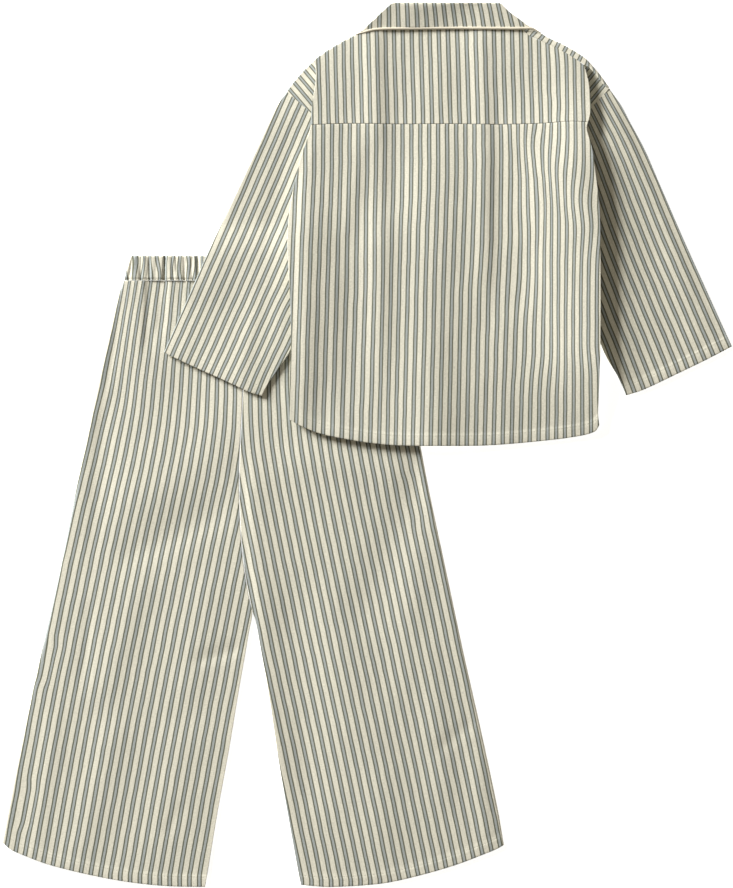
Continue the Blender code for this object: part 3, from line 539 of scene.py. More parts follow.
WAIST_CREASES = [
    # x_from y_from x_to y_to bow left right height
    (166.2, 244, 162.8, 292, 0, 1.2, 1.1, -2.4),
    (134.5, 240, 126, 296, 0, 2.0, 1.4, -1.4),
    (196.2, 246, 198.6, 284, 0, 1.6, 1.8, -1.6),
    (141.5, 246, 141.0, 292, 0, 1.3, 1.0, -1.0),
    (175.5, 240, 176.5, 278, 0, 1.2, 1.2, -1.0),
    (149.4, 252, 149.8, 296, 0, 1.0, 1.0, -0.9),
    (183.6, 246, 184.4, 292, 0, 1.0, 1.3, -0.8),
]
WAIST_LIE = {"stripe": [(151, 250), (151, 285)], "spacing": [(250, 7.4), (285, 7.4)],
             "pulls": [(133, 220, 126, 320, 0, 8, 7, -2.5)]}


def gathered_stripes(points):
    """How far, in stripes, the gathers draw the stripes aside: two slow waves that lean."""
    x, y = points[..., 0], points[..., 1]
    return 0.13 * np.sin(x / 4.3 + y / 9.0) + 0.10 * np.sin(x / 7.9 - y / 6.5 + 2.0)


waist_edges = {}
for side, way in (("left", -1), ("right", 1)):
    waist_edges[side] = [(WAIST_MIDDLE_X + way * half, y)
                         for half, y in zip(WAIST_HALF, (WAIST_TOP_Y, WAIST_BULGE_Y, WAIST_SEAM_Y))]
for side, row in (("top", 0), ("bottom", -1)):
    start, end = waist_edges["left"][row], waist_edges["right"][row]
    waist_edges[side] = [start, (WAIST_MIDDLE_X, start[1]), end]

lower = cut_panel(waist_edges, LOWER_CELL, None, {"left": WAIST_LOWER_INSET, "right": WAIST_LOWER_INSET,
                                                  "top": LOWER_INSET})
band_front = cloth_piece("waistband_under", with_height(lower, CLOTH),
                         woven(lower, stripe_numbers(lower, WAIST_LIE)), ticking)
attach(band_front, "root")
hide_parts("waistband_front")

upper = cut_panel(waist_edges, WAIST_CELL, {"left": SIDE_ROWS, "right": SIDE_ROWS, "top": WAIST_ROWS,
                                            "bottom": WAIST_ROWS})
away = distances_from_sides(upper)
drawn_in = eased(away["nearer"] / WAIST_SETTLE)
past_stitches = away["bottom"] - WAIST_STITCHES
at_stitches = 1 - WAIST_FLATTENED * np.exp(-(past_stitches / WAIST_FLAT_WIDTH) ** 2)
folds = GATHER_HEIGHT * gathers(upper) * at_stitches + soft_creases(upper, WAIST_CREASES)
height = (WAIST_FACE + folds * drawn_in
          - WAIST_GROOVE * np.exp(-(past_stitches / WAIST_GROOVE_WIDTH) ** 2)
          - rolled_down(away["top"], *WAIST_TOP_FALL) - rolled_down(away["bottom"], *WAIST_SEAM_FALL))
height = np.maximum(height, WAIST_DEEPEST)
height -= rolled_down(away["nearer"], WAIST_DEEPEST - WAIST_SIDE)
waist_surface = with_height(upper, height)
band_back = cloth_piece("waistband_gathered", waist_surface,
                        woven(upper, stripe_numbers(upper, WAIST_LIE) + gathered_stripes(upper)), ticking)
band_stitches = sewn_line("waistband_stitches", row_at(waist_surface, WAIST_STITCHES), thread,
                          stitch=2.0)
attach(band_back, "root")
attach(band_stitches, "root")
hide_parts("waistband_back")


# ---- The sleeves and their shoulder ends ----
# Each sleeve is one panel folded at its outer side and sewn underneath, with a turned hem at the cuff.
# The short ends of the shoulder, cut with the stripes aslant, are sewn to its top. The inner part of a
# sleeve runs in under the body.

SLEEVE_THICK = 3.0               # both layers of an empty sleeve
FOLD_RADIUS = 0.8                # its tight fold
SLOW_RISE = 18.0                 # and how far in from there it reaches its full thickness
SHOULDER_PITCH = 7.8             # the stripes on the shoulder ends
SHOULDER_LAP = 1.4               # how far a shoulder end laps over its sleeve
SHOULDER_RISE = 0.3              # and how much higher it lies there
SHOULDER_SLOPE = 8.0             # over which it rises to that

HEAP_CELL = 2.0                  # cell of the height map of what already lies on the table
HEAP_SIZE = (760.0, 910.0)
HEAP_STEPS = 3                   # how finely a cell of a piece is spread over that map
REACH = 16.0                     # how far cloth bridges outwards before it drops off a lower layer
BED_GAP = 0.8

LEFT_SHOULDER = {"top": [(312.6, 61.6), (320, 64.5), (328, 68)],
                 "bottom": [(287.6, 90.6), (299, 100.5), (310.5, 110.6), (322, 121)],
                 "left": [(312.6, 61.6), (304, 70), (299, 75.5), (293, 82.5), (287.6, 90.6)],
                 "right": [(328, 68), (326, 95), (322, 121)]}
RIGHT_SHOULDER = {"top": [(574, 68), (581, 65.5), (587.5, 63.5)],
                  "bottom": [(583, 114), (592.6, 104.2), (600.4, 96.2), (609, 88.4)],
                  "left": [(574, 68), (577, 95), (583, 114)],
                  "right": [(587.5, 63.5), (598.5, 75.5), (609, 88.4)]}
# on the shoulder ends: a place on one stripe, and the direction across the stripes
LEFT_SHOULDER_SLANT = (312, 68, -0.766, 0.643)
RIGHT_SHOULDER_SLANT = (592, 76, 0.77, 0.64)
LEFT_SLEEVE = {"top": [(287, 91.4), (299, 101.3), (310.2, 111.4), (320, 124), (327, 150)],
               "bottom": [(164, 352.5), (178, 359.5), (204, 371.5), (220, 378.5), (235, 385.5),
                          (250, 392.5), (262, 396)],
               "left": [(287, 91.4), (277, 105.5), (270, 120), (256, 150), (228, 210), (207, 255),
                        (188, 298), (164, 352.5)],
               "right": [(327, 150), (325, 190), (316, 220), (308, 250), (304, 290), (298, 330),
                         (291, 350), (280, 367), (268, 384.5), (262, 396)]}
RIGHT_SLEEVE = {"top": [(573, 150), (582, 124), (593.2, 104.9), (601, 96.9), (609.6, 89.1)],
                "bottom": [(626, 395.5), (643, 390), (675, 375), (706, 360), (732, 346.5)],
                "left": [(573, 150), (573, 185), (579, 220), (585, 250), (590, 290), (596, 325),
                         (601, 345), (608, 360), (617, 375), (624, 390), (626, 395.5)],
                "right": [(609.6, 89.1), (621, 105), (629, 120), (645, 150), (658, 180), (684, 240),
                          (711, 300), (732, 346.5)]}
LEFT_SLEEVE_LIE = {
    "stripe": [(288, 90), (274.6, 120), (240, 200), (223, 240), (197, 300), (175, 350), (156, 395)],
    "spacing": [(90, 9.3), (200, 9.5), (340, 9.5), (396, 9.2)],
    "pulls": [(300, 290, 268, 400, 0, 22, 12, -2.5)]}
RIGHT_SLEEVE_LIE = {
    "stripe": [(601, 85), (607, 95), (636, 150), (674, 240), (698, 295), (722, 350), (740, 395)],
    "spacing": [(88, 7.9), (130, 8.4), (200, 9.3), (300, 10.1), (395, 10.4)]}
LEFT_SLEEVE_CREASES = [
    (298, 96, 214, 380, 0, 30, 45, -1.4),
    (300, 110, 262, 280, -4, 8, 12, -0.6),
    (306, 140, 274, 350, 2, 10, 9, 0.6),
    (262, 280, 236, 400, 0, 10, 8, 0.6),
]
RIGHT_SLEEVE_CREASES = [
    (604, 60, 626, 400, 4, 8, 30, 1.8),
    (640, 150, 694, 310, 4, 16, 16, 0.4),
    (668, 230, 704, 370, 0, 14, 16, 0.4),
    (640, 290, 672, 400, 0, 12, 12, 0.5),
]

heap = np.zeros((round(HEAP_SIZE[1] / HEAP_CELL), round(HEAP_SIZE[0] / HEAP_CELL)))


def lay_on_heap(surface):
    """Raises the height map to a surface, whose cells are read at evenly spread places."""
    for down in np.arange(HEAP_STEPS) / HEAP_STEPS:
        upper_row, lower_row = surface[:-1] * (1 - down), surface[1:] * down
        between = upper_row + lower_row
        for across in np.arange(HEAP_STEPS) / HEAP_STEPS:
            points = between[:, :-1] * (1 - across) + between[:, 1:] * across
            column = np.clip(np.round(points[..., 0] / HEAP_CELL).astype(int), 0, heap.shape[1] - 1)
            row = np.clip(np.round(points[..., 1] / HEAP_CELL).astype(int), 0, heap.shape[0] - 1)
            np.maximum.at(heap, (row, column), points[..., 2])


def bed_on_heap(reach=REACH):
    """Height function of a cloth laid on the heap: the map is widened to the highest point within
    `reach`, then averaged three times over half of it each way, so it stays above the heap."""
    half = max(1, round(reach / HEAP_CELL / 2))
    spread = heap.copy()
    for axis in (0, 1):
        spread = np.max([np.roll(spread, step, axis) for step in range(-2 * half, 2 * half + 1)], axis=0)
    for axis in (0, 1) * 3:
        spread = np.mean([np.roll(spread, step, axis) for step in range(-half, half + 1)], axis=0)

    def height(points):
        """The map read between its cells by their shares, and a gap more where something lies."""
        column = np.clip(points[..., 0] / HEAP_CELL, 0, heap.shape[1] - 1.001)
        row = np.clip(points[..., 1] / HEAP_CELL, 0, heap.shape[0] - 1.001)
        c, r = column.astype(int), row.astype(int)
        part_c, part_r = column - c, row - r
        upper_row = spread[r, c] * (1 - part_c) + spread[r, c + 1] * part_c
        lower_row = spread[r + 1, c] * (1 - part_c) + spread[r + 1, c + 1] * part_c
        raw = upper_row * (1 - part_r) + lower_row * part_r
        return raw + BED_GAP * np.clip(raw, 0, 1)

    return height


def moved_bottom(edges, right, down):
    """The edges with the bottom one moved to the right and down, and the sides' last places with it."""
    moved = [(x + right, y + down) for x, y in edges["bottom"]]
    return {"top": edges["top"], "bottom": moved, "left": edges["left"][:-1] + moved[:1],
            "right": edges["right"][:-1] + moved[-1:]}


def seam_allowance(points):
    """The bed of a shoulder end: the table, rising at its lower edge to lap over the sleeve."""
    return SHOULDER_RISE * (1 - eased(distances_from_sides(points)["bottom"] / SHOULDER_SLOPE))


def empty_tube(points, bed, creases, fold_side, numbers, hem=True):
    """An empty sleeve lying flat, as a ring: the upper layer from left to right, then the lower one
    back. Its sides are half circles, from which it thickens slowly. Returns the ring, its upper layer
    and its weave map; past the fold the stripes run on round the lower layer."""
    away = distances_from_sides(points)
    radius = SLEEVE_THICK / 2
    at_fold = FOLD_RADIUS * np.sqrt(1 - (1 - np.clip(away["nearer"] / FOLD_RADIUS, 0, 1)) ** 2)
    half_thick = at_fold + (radius - FOLD_RADIUS) * eased(away["nearer"] / SLOW_RISE)
    settled = eased(away["nearer"] / SETTLE)
    lifted = settled * (soft_creases(points, creases) + unevenness(points, height=0.05, seed=5))
    if hem:
        lifted = lifted + turned_hem(away["bottom"])
    floor = bed(points)
    upper = with_height(points, floor + radius + half_thick + lifted)
    lower = with_height(points, floor + radius - half_thick)
    ring = np.concatenate([upper, lower[:, -2:0:-1]], axis=1)
    fold_number = numbers[:, :1] if fold_side == "left" else numbers[:, -1:]
    under = 2 * fold_number - numbers
    count = np.concatenate([numbers, under[:, -2:0:-1], numbers[:, :1]], axis=1)
    along = away["top"] / REPEAT
    along = np.concatenate([along, along[:, -2:0:-1], along[:, :1]], axis=1)
    return ring, upper, np.stack([count, along], axis=-1)


for side in ("left", "right"):
    lay_on_heap(legs[side])
lay_on_heap(waist_surface)
on_trousers = bed_on_heap()

ROUND_SIDE_ROWS = (0, 0.06, 0.25, 0.55, 0.95, 1.5, 2.4)
for side, shoulder, sleeve, lie, creases, slant in (
        ("left", LEFT_SHOULDER, LEFT_SLEEVE, LEFT_SLEEVE_LIE, LEFT_SLEEVE_CREASES,
         LEFT_SHOULDER_SLANT),
        ("right", RIGHT_SHOULDER, RIGHT_SLEEVE, RIGHT_SLEEVE_LIE, RIGHT_SLEEVE_CREASES,
         RIGHT_SHOULDER_SLANT)):
    from_x, from_y, part_x, part_y = slant
    edges = moved_bottom(shoulder, SHOULDER_LAP * part_x, SHOULDER_LAP * part_y)
    points = cut_panel(edges, CELL, {"left": ROUND_SIDE_ROWS, "right": ROUND_SIDE_ROWS,
                                     "bottom": SEAM_ROWS})
    numbers = ((points[..., 0] - from_x) * part_x + (points[..., 1] - from_y) * part_y) / SHOULDER_PITCH
    ring, upper, weave = empty_tube(points, seam_allowance, [], side, numbers, hem=False)
    shoulder_end = cloth_piece(f"shoulder_end_{side}", ring, weave, ticking, closed=True)
    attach(shoulder_end, "root")
    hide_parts(f"shoulder_{side}")
    lay_on_heap(upper)

    points = cut_panel(sleeve, CELL, {"left": ROUND_SIDE_ROWS, "right": ROUND_SIDE_ROWS,
                                      "top": SEAM_ROWS, "bottom": HEM_ROWS})
    ring, upper, weave = empty_tube(points, on_trousers, creases, side, stripe_numbers(points, lie))
    sleeve_piece = cloth_piece(f"sleeve_cloth_{side}", ring, weave, ticking, closed=True)
    stitches = sewn_line(f"cuff_stitches_{side}", row_at(upper, HEM_DEPTH) - STITCH_SINK, thread)
    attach(sleeve_piece, "root")
    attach(stitches, "root")
    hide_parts(f"sleeve_{side}")
    lay_on_heap(upper)


# ---- The buttons and the collar's front stretches ----
# Five round shell buttons sit under the placket, between the two fronts and the table. The collar
# runs on from the shoulders down both sides of the neck opening, as flat leaves of doubled cloth.

SHIRT_MIDDLE_X = 446.0
PLACKET = 12.0                   # how far each front runs past the centre front
BUTTON_TOP = 2.3
FIRST_BUTTON_Y = 118.5           # top edge of the topmost button
PLACKET_POINTS = (13, 170)       # across and down
PLACKET_BED = BUTTON_TOP - 0.7   # what the heap holds under it, less the gap that a bed adds
SHELL_TONES = [(0.35, (0.62, 0.60, 0.55, 1)), (0.7, (0.86, 0.85, 0.80, 1))]
LEAF_THICK = 1.0                 # doubled cloth, pressed flat
LEAF_CELL = 3.5
LEAF_NECK = [(361, 38), (378, 52), (396, 67), (420, 87), (441, 104)]
LEAF_SIDE = [(361, 38), (353, 47), (366, 85), (386, 121)]
LEAF_FRONT = [(441, 104), (436, 112), (430, 119)]
LEAF_EDGE = [(386, 121), (408, 121), (430, 119)]
BODY_HEM = [(290, 420), (304, 427.5), (325, 435), (366, 442.5), (396, 445.5), (440, 446),
            (487, 445.5), (537, 441.5), (577, 436.5), (595, 431.5), (599.2, 425)]
HEM_MIDDLE_Y = BODY_HEM[5][1]    # its lowest place, near the centre front

# polished shell: pale, with faint clouds and a soft gloss
shell = clouded_finish("button_shell", {"Roughness": 0.28, "Coat Weight": 0.4, "Coat Roughness": 0.15},
                       {"Scale": 180.0, "Detail": 4.0, "Distortion": 1.2}, SHELL_TONES)
for name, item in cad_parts.items():
    if name.startswith("button_"):
        item.data.materials.clear()
        item.data.materials.append(shell)

placket_x = SHIRT_MIDDLE_X + np.linspace(-PLACKET, PLACKET, PLACKET_POINTS[0])
placket_y = np.linspace(FIRST_BUTTON_Y, HEM_MIDDLE_Y + REACH, PLACKET_POINTS[1])
level = np.stack(np.meshgrid(placket_x, placket_y), axis=-1)
lay_on_heap(with_height(level, PLACKET_BED))


def other_side(places):
    """The places mirrored about the centre front."""
    return [(2 * SHIRT_MIDDLE_X - x, y) for x, y in places]


def upright_stripes(points, offset=0.0):
    """Stripe numbers of cloth whose stripes run straight down, counted from the centre front."""
    return (points[..., 0] - SHIRT_MIDDLE_X) / REPEAT + offset


leaves = {"left": {"top": LEAF_NECK, "bottom": LEAF_EDGE, "left": LEAF_SIDE, "right": LEAF_FRONT},
          "right": {"top": other_side(LEAF_NECK)[::-1], "bottom": other_side(LEAF_EDGE)[::-1],
                    "left": other_side(LEAF_FRONT), "right": other_side(LEAF_SIDE)}}
for side, edges in leaves.items():
    points = cut_panel(edges, LEAF_CELL, dict.fromkeys(edges, SEAM_ROWS))
    surface = with_height(points, LEAF_THICK)
    leaf = cloth_piece(f"collar_leaf_{side}", surface, woven(points, upright_stripes(points)), ticking,
                       thickness=LEAF_THICK)
    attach(leaf, "root")
    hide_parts(f"collar_front_{side}")
    lay_on_heap(surface)


# ---- The shirt fronts ----
# Two panels that overlap at the centre front by the width of the placket and lie under the back. The
# left one lies lower, on the buttons' side of the table, and the right one steps up onto it.

BODY_REACH = 28.0                # the body bridges wider than a sleeve does
PLACKET_STEP = 1.6               # how much higher the right front lies on the left one
PLACKET_FALL = (9.0, 21.0)       # where it comes down again past the placket
FRONT_INSET = 2.0
YOKE_LEFT = [(313, 61), (315.5, 68), (316, 76), (315, 86), (313, 98), (311.5, 110), (311, 124.3)]
YOKE_RIGHT = [(584, 65.5), (586, 72), (588.5, 82), (590, 95), (591, 108), (589.5, 117), (588, 121.7)]
BODY_LEFT = [(311, 124.6), (309, 133), (306, 143), (301, 156), (297, 174), (292, 195), (288.5, 220),
             (287.5, 245), (288.5, 270), (290.5, 310), (291, 345), (290, 380), (290, 420)]
BODY_RIGHT = [(588, 122), (586.4, 129), (588.5, 137), (592, 150), (596, 180), (599, 205), (600, 240),
              (600, 340), (598.3, 400), (598, 415), (599.2, 425)]
FRONT_NECKLINE = [(316, 64), (338, 49), (360, 40), (396, 69.5), (441, 106.5), (458, 108)]
FRONT_RIGHT_SHOULDER = (583.5, 69)

on_everything = bed_on_heap(BODY_REACH)
left_placket = (SHIRT_MIDDLE_X + PLACKET, HEM_MIDDLE_Y)
right_placket = (SHIRT_MIDDLE_X - PLACKET, HEM_MIDDLE_Y)
right_neckline = other_side(FRONT_NECKLINE)[:0:-1] + [FRONT_RIGHT_SHOULDER]
fronts = {
    "left": {"top": FRONT_NECKLINE, "bottom": BODY_HEM[:5] + [left_placket],
             "left": [FRONT_NECKLINE[0]] + YOKE_LEFT[1:-1] + BODY_LEFT[1:],
             "right": [FRONT_NECKLINE[-1], left_placket]},
    "right": {"top": right_neckline, "bottom": [right_placket] + BODY_HEM[6:],
              "left": [right_neckline[0], right_placket],
              "right": [FRONT_RIGHT_SHOULDER] + YOKE_RIGHT[2:-1] + BODY_RIGHT[1:]}}
for side, edges in fronts.items():
    points = cut_panel(edges, LOWER_CELL, {"bottom": HEM_ROWS}, {side: FRONT_INSET,
                                                               "bottom": LOWER_INSET})
    height = on_everything(points) + CLOTH
    if side == "right":
        past = points[..., 0] - (SHIRT_MIDDLE_X + PLACKET)
        start, end = PLACKET_FALL
        height = height + PLACKET_STEP * (1 - eased((past - start) / (end - start)))
    front = cloth_piece(f"front_cloth_{side}", with_height(points, height),
                        woven(points, upright_stripes(points, 0.5)), ticking)
    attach(front, "root")
    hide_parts(f"shirt_front_{side}")


# ---- The shirt's back and yoke ----
# The back hangs from a straight yoke, whose lower edge is turned under and laps over the seam. Soft
# creases run down from the shoulders, over what the shirt lies on, and the hem is turned and stitched.

SHIRT_LAYERS = TWO_LAYERS + 1.4  # the back over the two fronts where they overlap
YOKE_SEAM = [(311, 124.3), (345, 123), (400, 123.5), (450, 123.3), (500, 123.8), (540, 123),
             (570, 121), (588, 121.7)]
SEAM_STEP = 0.15                 # how high the yoke's turned edge lies over the back
SEAM_LAP = 0.7                   # and how far down it laps over it
BACK_TUCK_ROWS = (0, 0.4, 0.9, 1.8)          # points down from the seam, where the back tucks in
YOKE_EDGE_ROWS = (0, 0.25, 0.6, 1.2, 2.4)    # and up from the yoke's turned edge
YOKE_NECK_SHARE = 0.4            # share of the roll at the neck and the shoulders
SEAM_STEP_ENDS = (1.2, 5.0)      # where that step starts to level out, and over what width
YOKE_EDGE_FALL = (0.1, 0.6)      # how far the yoke's edge rolls down, and over what width
BACK_TUCK_FALL = (0.7, 2.0)      # and the back's, under it
LEFT_SHOULDER_LINE = [(313, 61), (325, 52), (338, 44), (345, 40), (353, 36), (358, 33.2)]
NECK_SEAM = [(365, 29), (376, 25), (400, 22.5), (446, 22), (495, 22.5), (514, 25.5), (524, 31)]
RIGHT_SHOULDER_LINE = [(531, 37), (540, 40.5), (550, 45), (560, 50), (572, 57), (584, 65.5)]
BACK_LIE = {
    "stripe": [(447, 120), (447, 180), (445, 240), (443, 320), (440, 446)],
    "spacing": [(120, 8.8), (250, 8.9), (446, 9.0)],
    "pulls": [(518, 122, 596, 226, 0, 18, 18, -3.6), (512, 100, 526, 330, 0, 13, 14, 2.6),
              (606, -400, 606, 520, 0, 45, 45, -6.0), (372, 180, 375, 640, 0, 30, 20, 2.6),
              (535, 190, 552, 400, 0, 40, 12, 3.0), (590, 230, 592, 380, 0, 16, 30, -2.0),
              (490, 60, 490, 300, 0, 40, 14, 1.5), (542, 60, 542, 250, 0, 8, 8, 2.5)]}
YOKE_LIE = {
    "stripe": [(448, 20), (449, 60), (451, 126)],
    "spacing": [(20, 9.2), (126, 9.2)],
    "pulls": [(606, -400, 606, 700, 0, 55, 45, -6.0), (566, 40, 560, 124, 0, 12, 14, 1.5),
              (300, -400, 300, 700, 0, 60, 68, 8.6)]}
BODY_ROLL = 0.15                 # how far in from its sides the body rolls down
SIDE_SHARE = 0.8                 # and how much of its layers' height it comes down there
SWELL_DROP = 1.5                 # drop beside the right sleeve over the height it stands up there
BODY_PITCH = 8.9                 # the stripes' repeat at its sides
SHIRT_SWELL = [(590, 78, 601, 448, 0, 88, 60, 7.5)]      # it stands up beside the right sleeve
# and hangs down further beside the armhole
ARMHOLE_HANG = [(590, 40, 590, 160, 0, 60, 60, 0.9), (590, 50, 590, 122, 0, 60, 60, 1.6)]
SHIRT_CREASES = [
    # x_from y_from x_to y_to bow left right height
    (370, -60, 378, 440, 4, 14, 13, 1.9),
    (362, 104, 344, 250, 2, 9, 9, 0.9),
    (303, 100, 302, 480, 2, 9, 15, 1.3),
    (333, 250, 336, 470, 0, 8, 9, 0.5),
    (431, 90, 432, 640, 1, 27, 25, 2.3),
    (478, -20, 487, 320, 2, 11, 9, 1.3),
    (502, 80, 494, 320, -2, 8, 8, -0.4),
    (552, 0, 582, 262, 5, 14, 15, 0.7),
    (506, 132, 590, 234, -3, 7, 7, -0.5),
    (526, 240, 520, 320, 0, 10, 10, -0.4),
    (500, 280, 506, 480, 0, 11, 12, 0.6),
    (398, 30, 396, 118, 0, 9, 9, 0.4),
    (376, 20, 378, 150, 0, 12, 7, 0.5),
    (440, 20, 446, 118, 0, 10, 10, 0.4),
]


def side_drop(points, away, side, share):
    """How far the body rolls down at a side: a quarter ellipse as deep as that share of its layers.
    To meet the sleeve, the right side goes down further, by one and a half times the height that the
    cloth stands up there, and some more beside the armhole."""
    hang = SWELL_DROP * soft_creases(points, SHIRT_SWELL) + soft_creases(points, ARMHOLE_HANG)
    return rolled_down(away[side], share * (SHIRT_LAYERS - RIM) + hang * (side == "right"), BODY_ROLL)


def body_stripes(points, away, lie):
    """Stripe numbers of the body, with the stripes carried down its sides: the drop over the pitch is
    added at the right and taken off at the left."""
    right, left = (side_drop(points, away, side, SIDE_SHARE) for side in ("right", "left"))
    return stripe_numbers(points, lie) + (right - left) / BODY_PITCH


def shirt_surface(points, away, bed, rolls):
    """The upper layer of the body on its bed, with its creases, rolled down at the sides that `rolls`
    names, as shares of the full drop."""
    settled = eased(away["nearer"] / SETTLE)
    drape = soft_creases(points, SHIRT_CREASES) + unevenness(points, height=0.06, seed=8)
    swell = soft_creases(points, SHIRT_SWELL)
    height = bed(points) + SHIRT_LAYERS + swell + drape * settled
    for side, share in rolls.items():
        height = height - side_drop(points, away, side, share)
    return height


back_edges = {"top": YOKE_SEAM, "bottom": BODY_HEM, "left": BODY_LEFT, "right": BODY_RIGHT}
points = cut_panel(back_edges, CELL, {"left": SIDE_ROWS, "right": SIDE_ROWS, "top": BACK_TUCK_ROWS,
                                      "bottom": HEM_ROWS})
away = distances_from_sides(points)
height = shirt_surface(points, away, on_everything, {"left": SIDE_SHARE, "right": SIDE_SHARE})
height += turned_hem(away["bottom"]) - rolled_down(away["top"], *BACK_TUCK_FALL)
surface = with_height(points, height)
back = cloth_piece("back_cloth", surface, woven(points, body_stripes(points, away, BACK_LIE)), ticking)
stitches = sewn_line("shirt_hem_stitches", row_at(surface, HEM_DEPTH) - STITCH_SINK, thread)
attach(back, "root")
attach(stitches, "root")
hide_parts("shirt_back")

neck = LEFT_SHOULDER_LINE + NECK_SEAM + RIGHT_SHOULDER_LINE
yoke_edges = {"top": neck, "bottom": YOKE_SEAM, "left": YOKE_LEFT, "right": YOKE_RIGHT}
points = cut_panel(moved_bottom(yoke_edges, 0, SEAM_LAP), CELL,
                   {"left": SIDE_ROWS, "right": SIDE_ROWS, "top": SEAM_ROWS, "bottom": YOKE_EDGE_ROWS})
away = distances_from_sides(points)
height = shirt_surface(points, away, on_everything, {"left": SIDE_SHARE, "right": SIDE_SHARE,
                                                     "top": YOKE_NECK_SHARE})
start, width = SEAM_STEP_ENDS
height += SEAM_STEP * (1 - eased((away["bottom"] - start) / width))
height -= rolled_down(away["bottom"], *YOKE_EDGE_FALL)
yoke = cloth_piece("yoke_cloth", with_height(points, height),
                   woven(points, body_stripes(points, away, YOKE_LIE)), ticking)
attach(yoke, "root")
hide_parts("yoke")


# ---- The rolled shoulder of the right front ----
# A narrow strip of the right front comes over the shoulder line onto the yoke's side, with its
# stripes cut aslant.

ROLLED_OUTER = [(520, 26.5), (530, 28.3), (536, 30.6), (541, 33.3), (546, 36.4), (553, 40), (562, 44),
                (569, 48), (576, 52), (587, 60), (594, 68), (600, 75), (609, 87.6)]
ROLLED_INNER = [(523, 33), (533, 37.2), (540, 39.9), (550, 44.7), (560, 49.7), (572, 56.7), (583.5, 64),
                (589, 67.5), (594.8, 73.3), (600, 80), (606.5, 87.6)]
ROLLED_PROFILE = [
    # share of the strip's width from its outer edge, height against its inner edge
    (0.0, -2.4),
    (0.08, -1.6),
    (0.16, -1.2),
    (0.25, -0.85),
    (0.32, -0.6),
    (0.4, -0.4),
    (0.55, -0.1),
    (0.75, 0.1),
    (0.92, 0.05),
    (1.0, -0.2),
]
ROLLED_POINTS = 60               # along the strip
ROLLED_PITCH = 8.6
ROLLED_SINK = 0.8                # how far its neck end sinks under the collar
ROLLED_SINK_REACH = 14.0
ROLLED_HOLLOW = 3.6              # depth of the dark hollow beside the collar's piping
ROLLED_HOLLOW_END = (17.0, 23.0)  # where it fades out along the strip
ROLLED_HOLLOW_FOOT = (0.22, 0.36)  # and across it, in shares of its width
ROLLED_SLANT = 0.9               # how far the stripes lean over for each step down the strip
ROLLED_LAP = (-0.3, 0.45)        # how far its inner edge lies over the yoke's

shares, profile = np.array(ROLLED_PROFILE).T
across, down = np.meshgrid(np.linspace(0, 1, ROLLED_POINTS), shares)
strip_edges = {"top": ROLLED_OUTER, "bottom": ROLLED_INNER, "left": [ROLLED_OUTER[0], ROLLED_INNER[0]],
               "right": [ROLLED_OUTER[-1], ROLLED_INNER[-1]]}
points = inside_edges(moved_bottom(strip_edges, *ROLLED_LAP), across, down)
away = distances_from_sides(points)
sunk = ROLLED_SINK * (1 - eased(away["left"] / ROLLED_SINK_REACH))
start, end = ROLLED_HOLLOW_END
foot_start, foot_end = ROLLED_HOLLOW_FOOT
hollow = (ROLLED_HOLLOW * (1 - eased((away["left"] - start) / (end - start)))
          * (1 - eased((down - foot_start) / (foot_end - foot_start))))
face = on_everything(points) + SHIRT_LAYERS + soft_creases(points, SHIRT_SWELL)
height = np.maximum(face + profile[:, None] - sunk - hollow, CLOTH)
weave = woven(points, (away["left"] + ROLLED_SLANT * away["top"]) / ROLLED_PITCH)
strip = cloth_piece("rolled_shoulder", with_height(points, height), weave, ticking)
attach(strip, "root")
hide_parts("shirt_front_shoulder")


# ---- The collar and its piping ----
# The back of the collar is a leaf folded down over its stand, which is sewn to the neck. A cord
# covered with plain cream cotton, cut on the bias, is sewn in along the leaf's edge.

COLLAR_ROLL = [(391, 4.4), (393.5, 3.2), (446, 3), (499, 3.2), (501.5, 4.4)]
COLLAR_LEFT = [(391, 4.4), (382, 12), (373.5, 20), (365.5, 27.2), (360.5, 32.4)]
COLLAR_RIGHT = [(501.5, 4.4), (509, 12), (520, 20), (525, 24), (532.5, 28.6)]
COLLAR_EDGE = [(360.5, 32.4), (364, 31.5), (370.5, 29.8), (377, 28.8), (386, 28.3), (415, 27.9),
               (449, 27.5), (490, 27.7), (515, 27.9), (526, 27.7), (532.5, 28.6)]
COLLAR_FALL = 24.0
COLLAR_ROWS = (0, 0.1, 0.4, 0.8, 1.3, 2.2, 4, 6.5, 9, 11.5, 14, 16.5, 19, 21.5, 23.2, 24)
COLLAR_TURN = 1.5                # how far below its roll the collar is round
COLLAR_RISE = 3.5                # how much higher the roll lies than the leaf's edge
COLLAR_ENDS_LESS = 0.7           # how much less it turns in at its ends than at the roll
COLLAR_SETTLE = (10.0, 4.0)      # how far in from its ends and its roll the creases are whole
COLLAR_SPAN = 150.0              # the width that its cells and side rows are shares of
NECK_GAP = 1.2                   # how far above the neck seam the stand ends
COLLAR_CELL = 2.2
COLLAR_STAND_FACE = 1.9          # height of the stand over what lies below it
COLLAR_LEAF_FACE = 6.2           # and of the leaf
COLLAR_LIE = {"stripe": [(443, 0), (445, 15), (447, 33)], "spacing": [(0, 9.0), (33, 9.6)]}
COLLAR_CREASES = [
    (418, -8, 420, 40, 0, 14, 30, 0.8),
    (470, -8, 468, 40, 0, 14, 22, -0.5),
    (404, -2, 408, 32, 0, 8, 8, 0.35),
    (486, -2, 482, 32, 0, 8, 10, 0.35),
]
PIPING_LINE = [(355.5, 35), (358, 33.9), (364, 32.3), (370.5, 30.6), (377, 29.6), (386, 29.1),
               (415, 28.7), (449, 28.3), (490, 28.5), (515, 28.7), (527, 28.5), (532, 28.9),
               (536, 30.8), (541, 33.4)]
PIPING_POINTS = 110              # along the cord
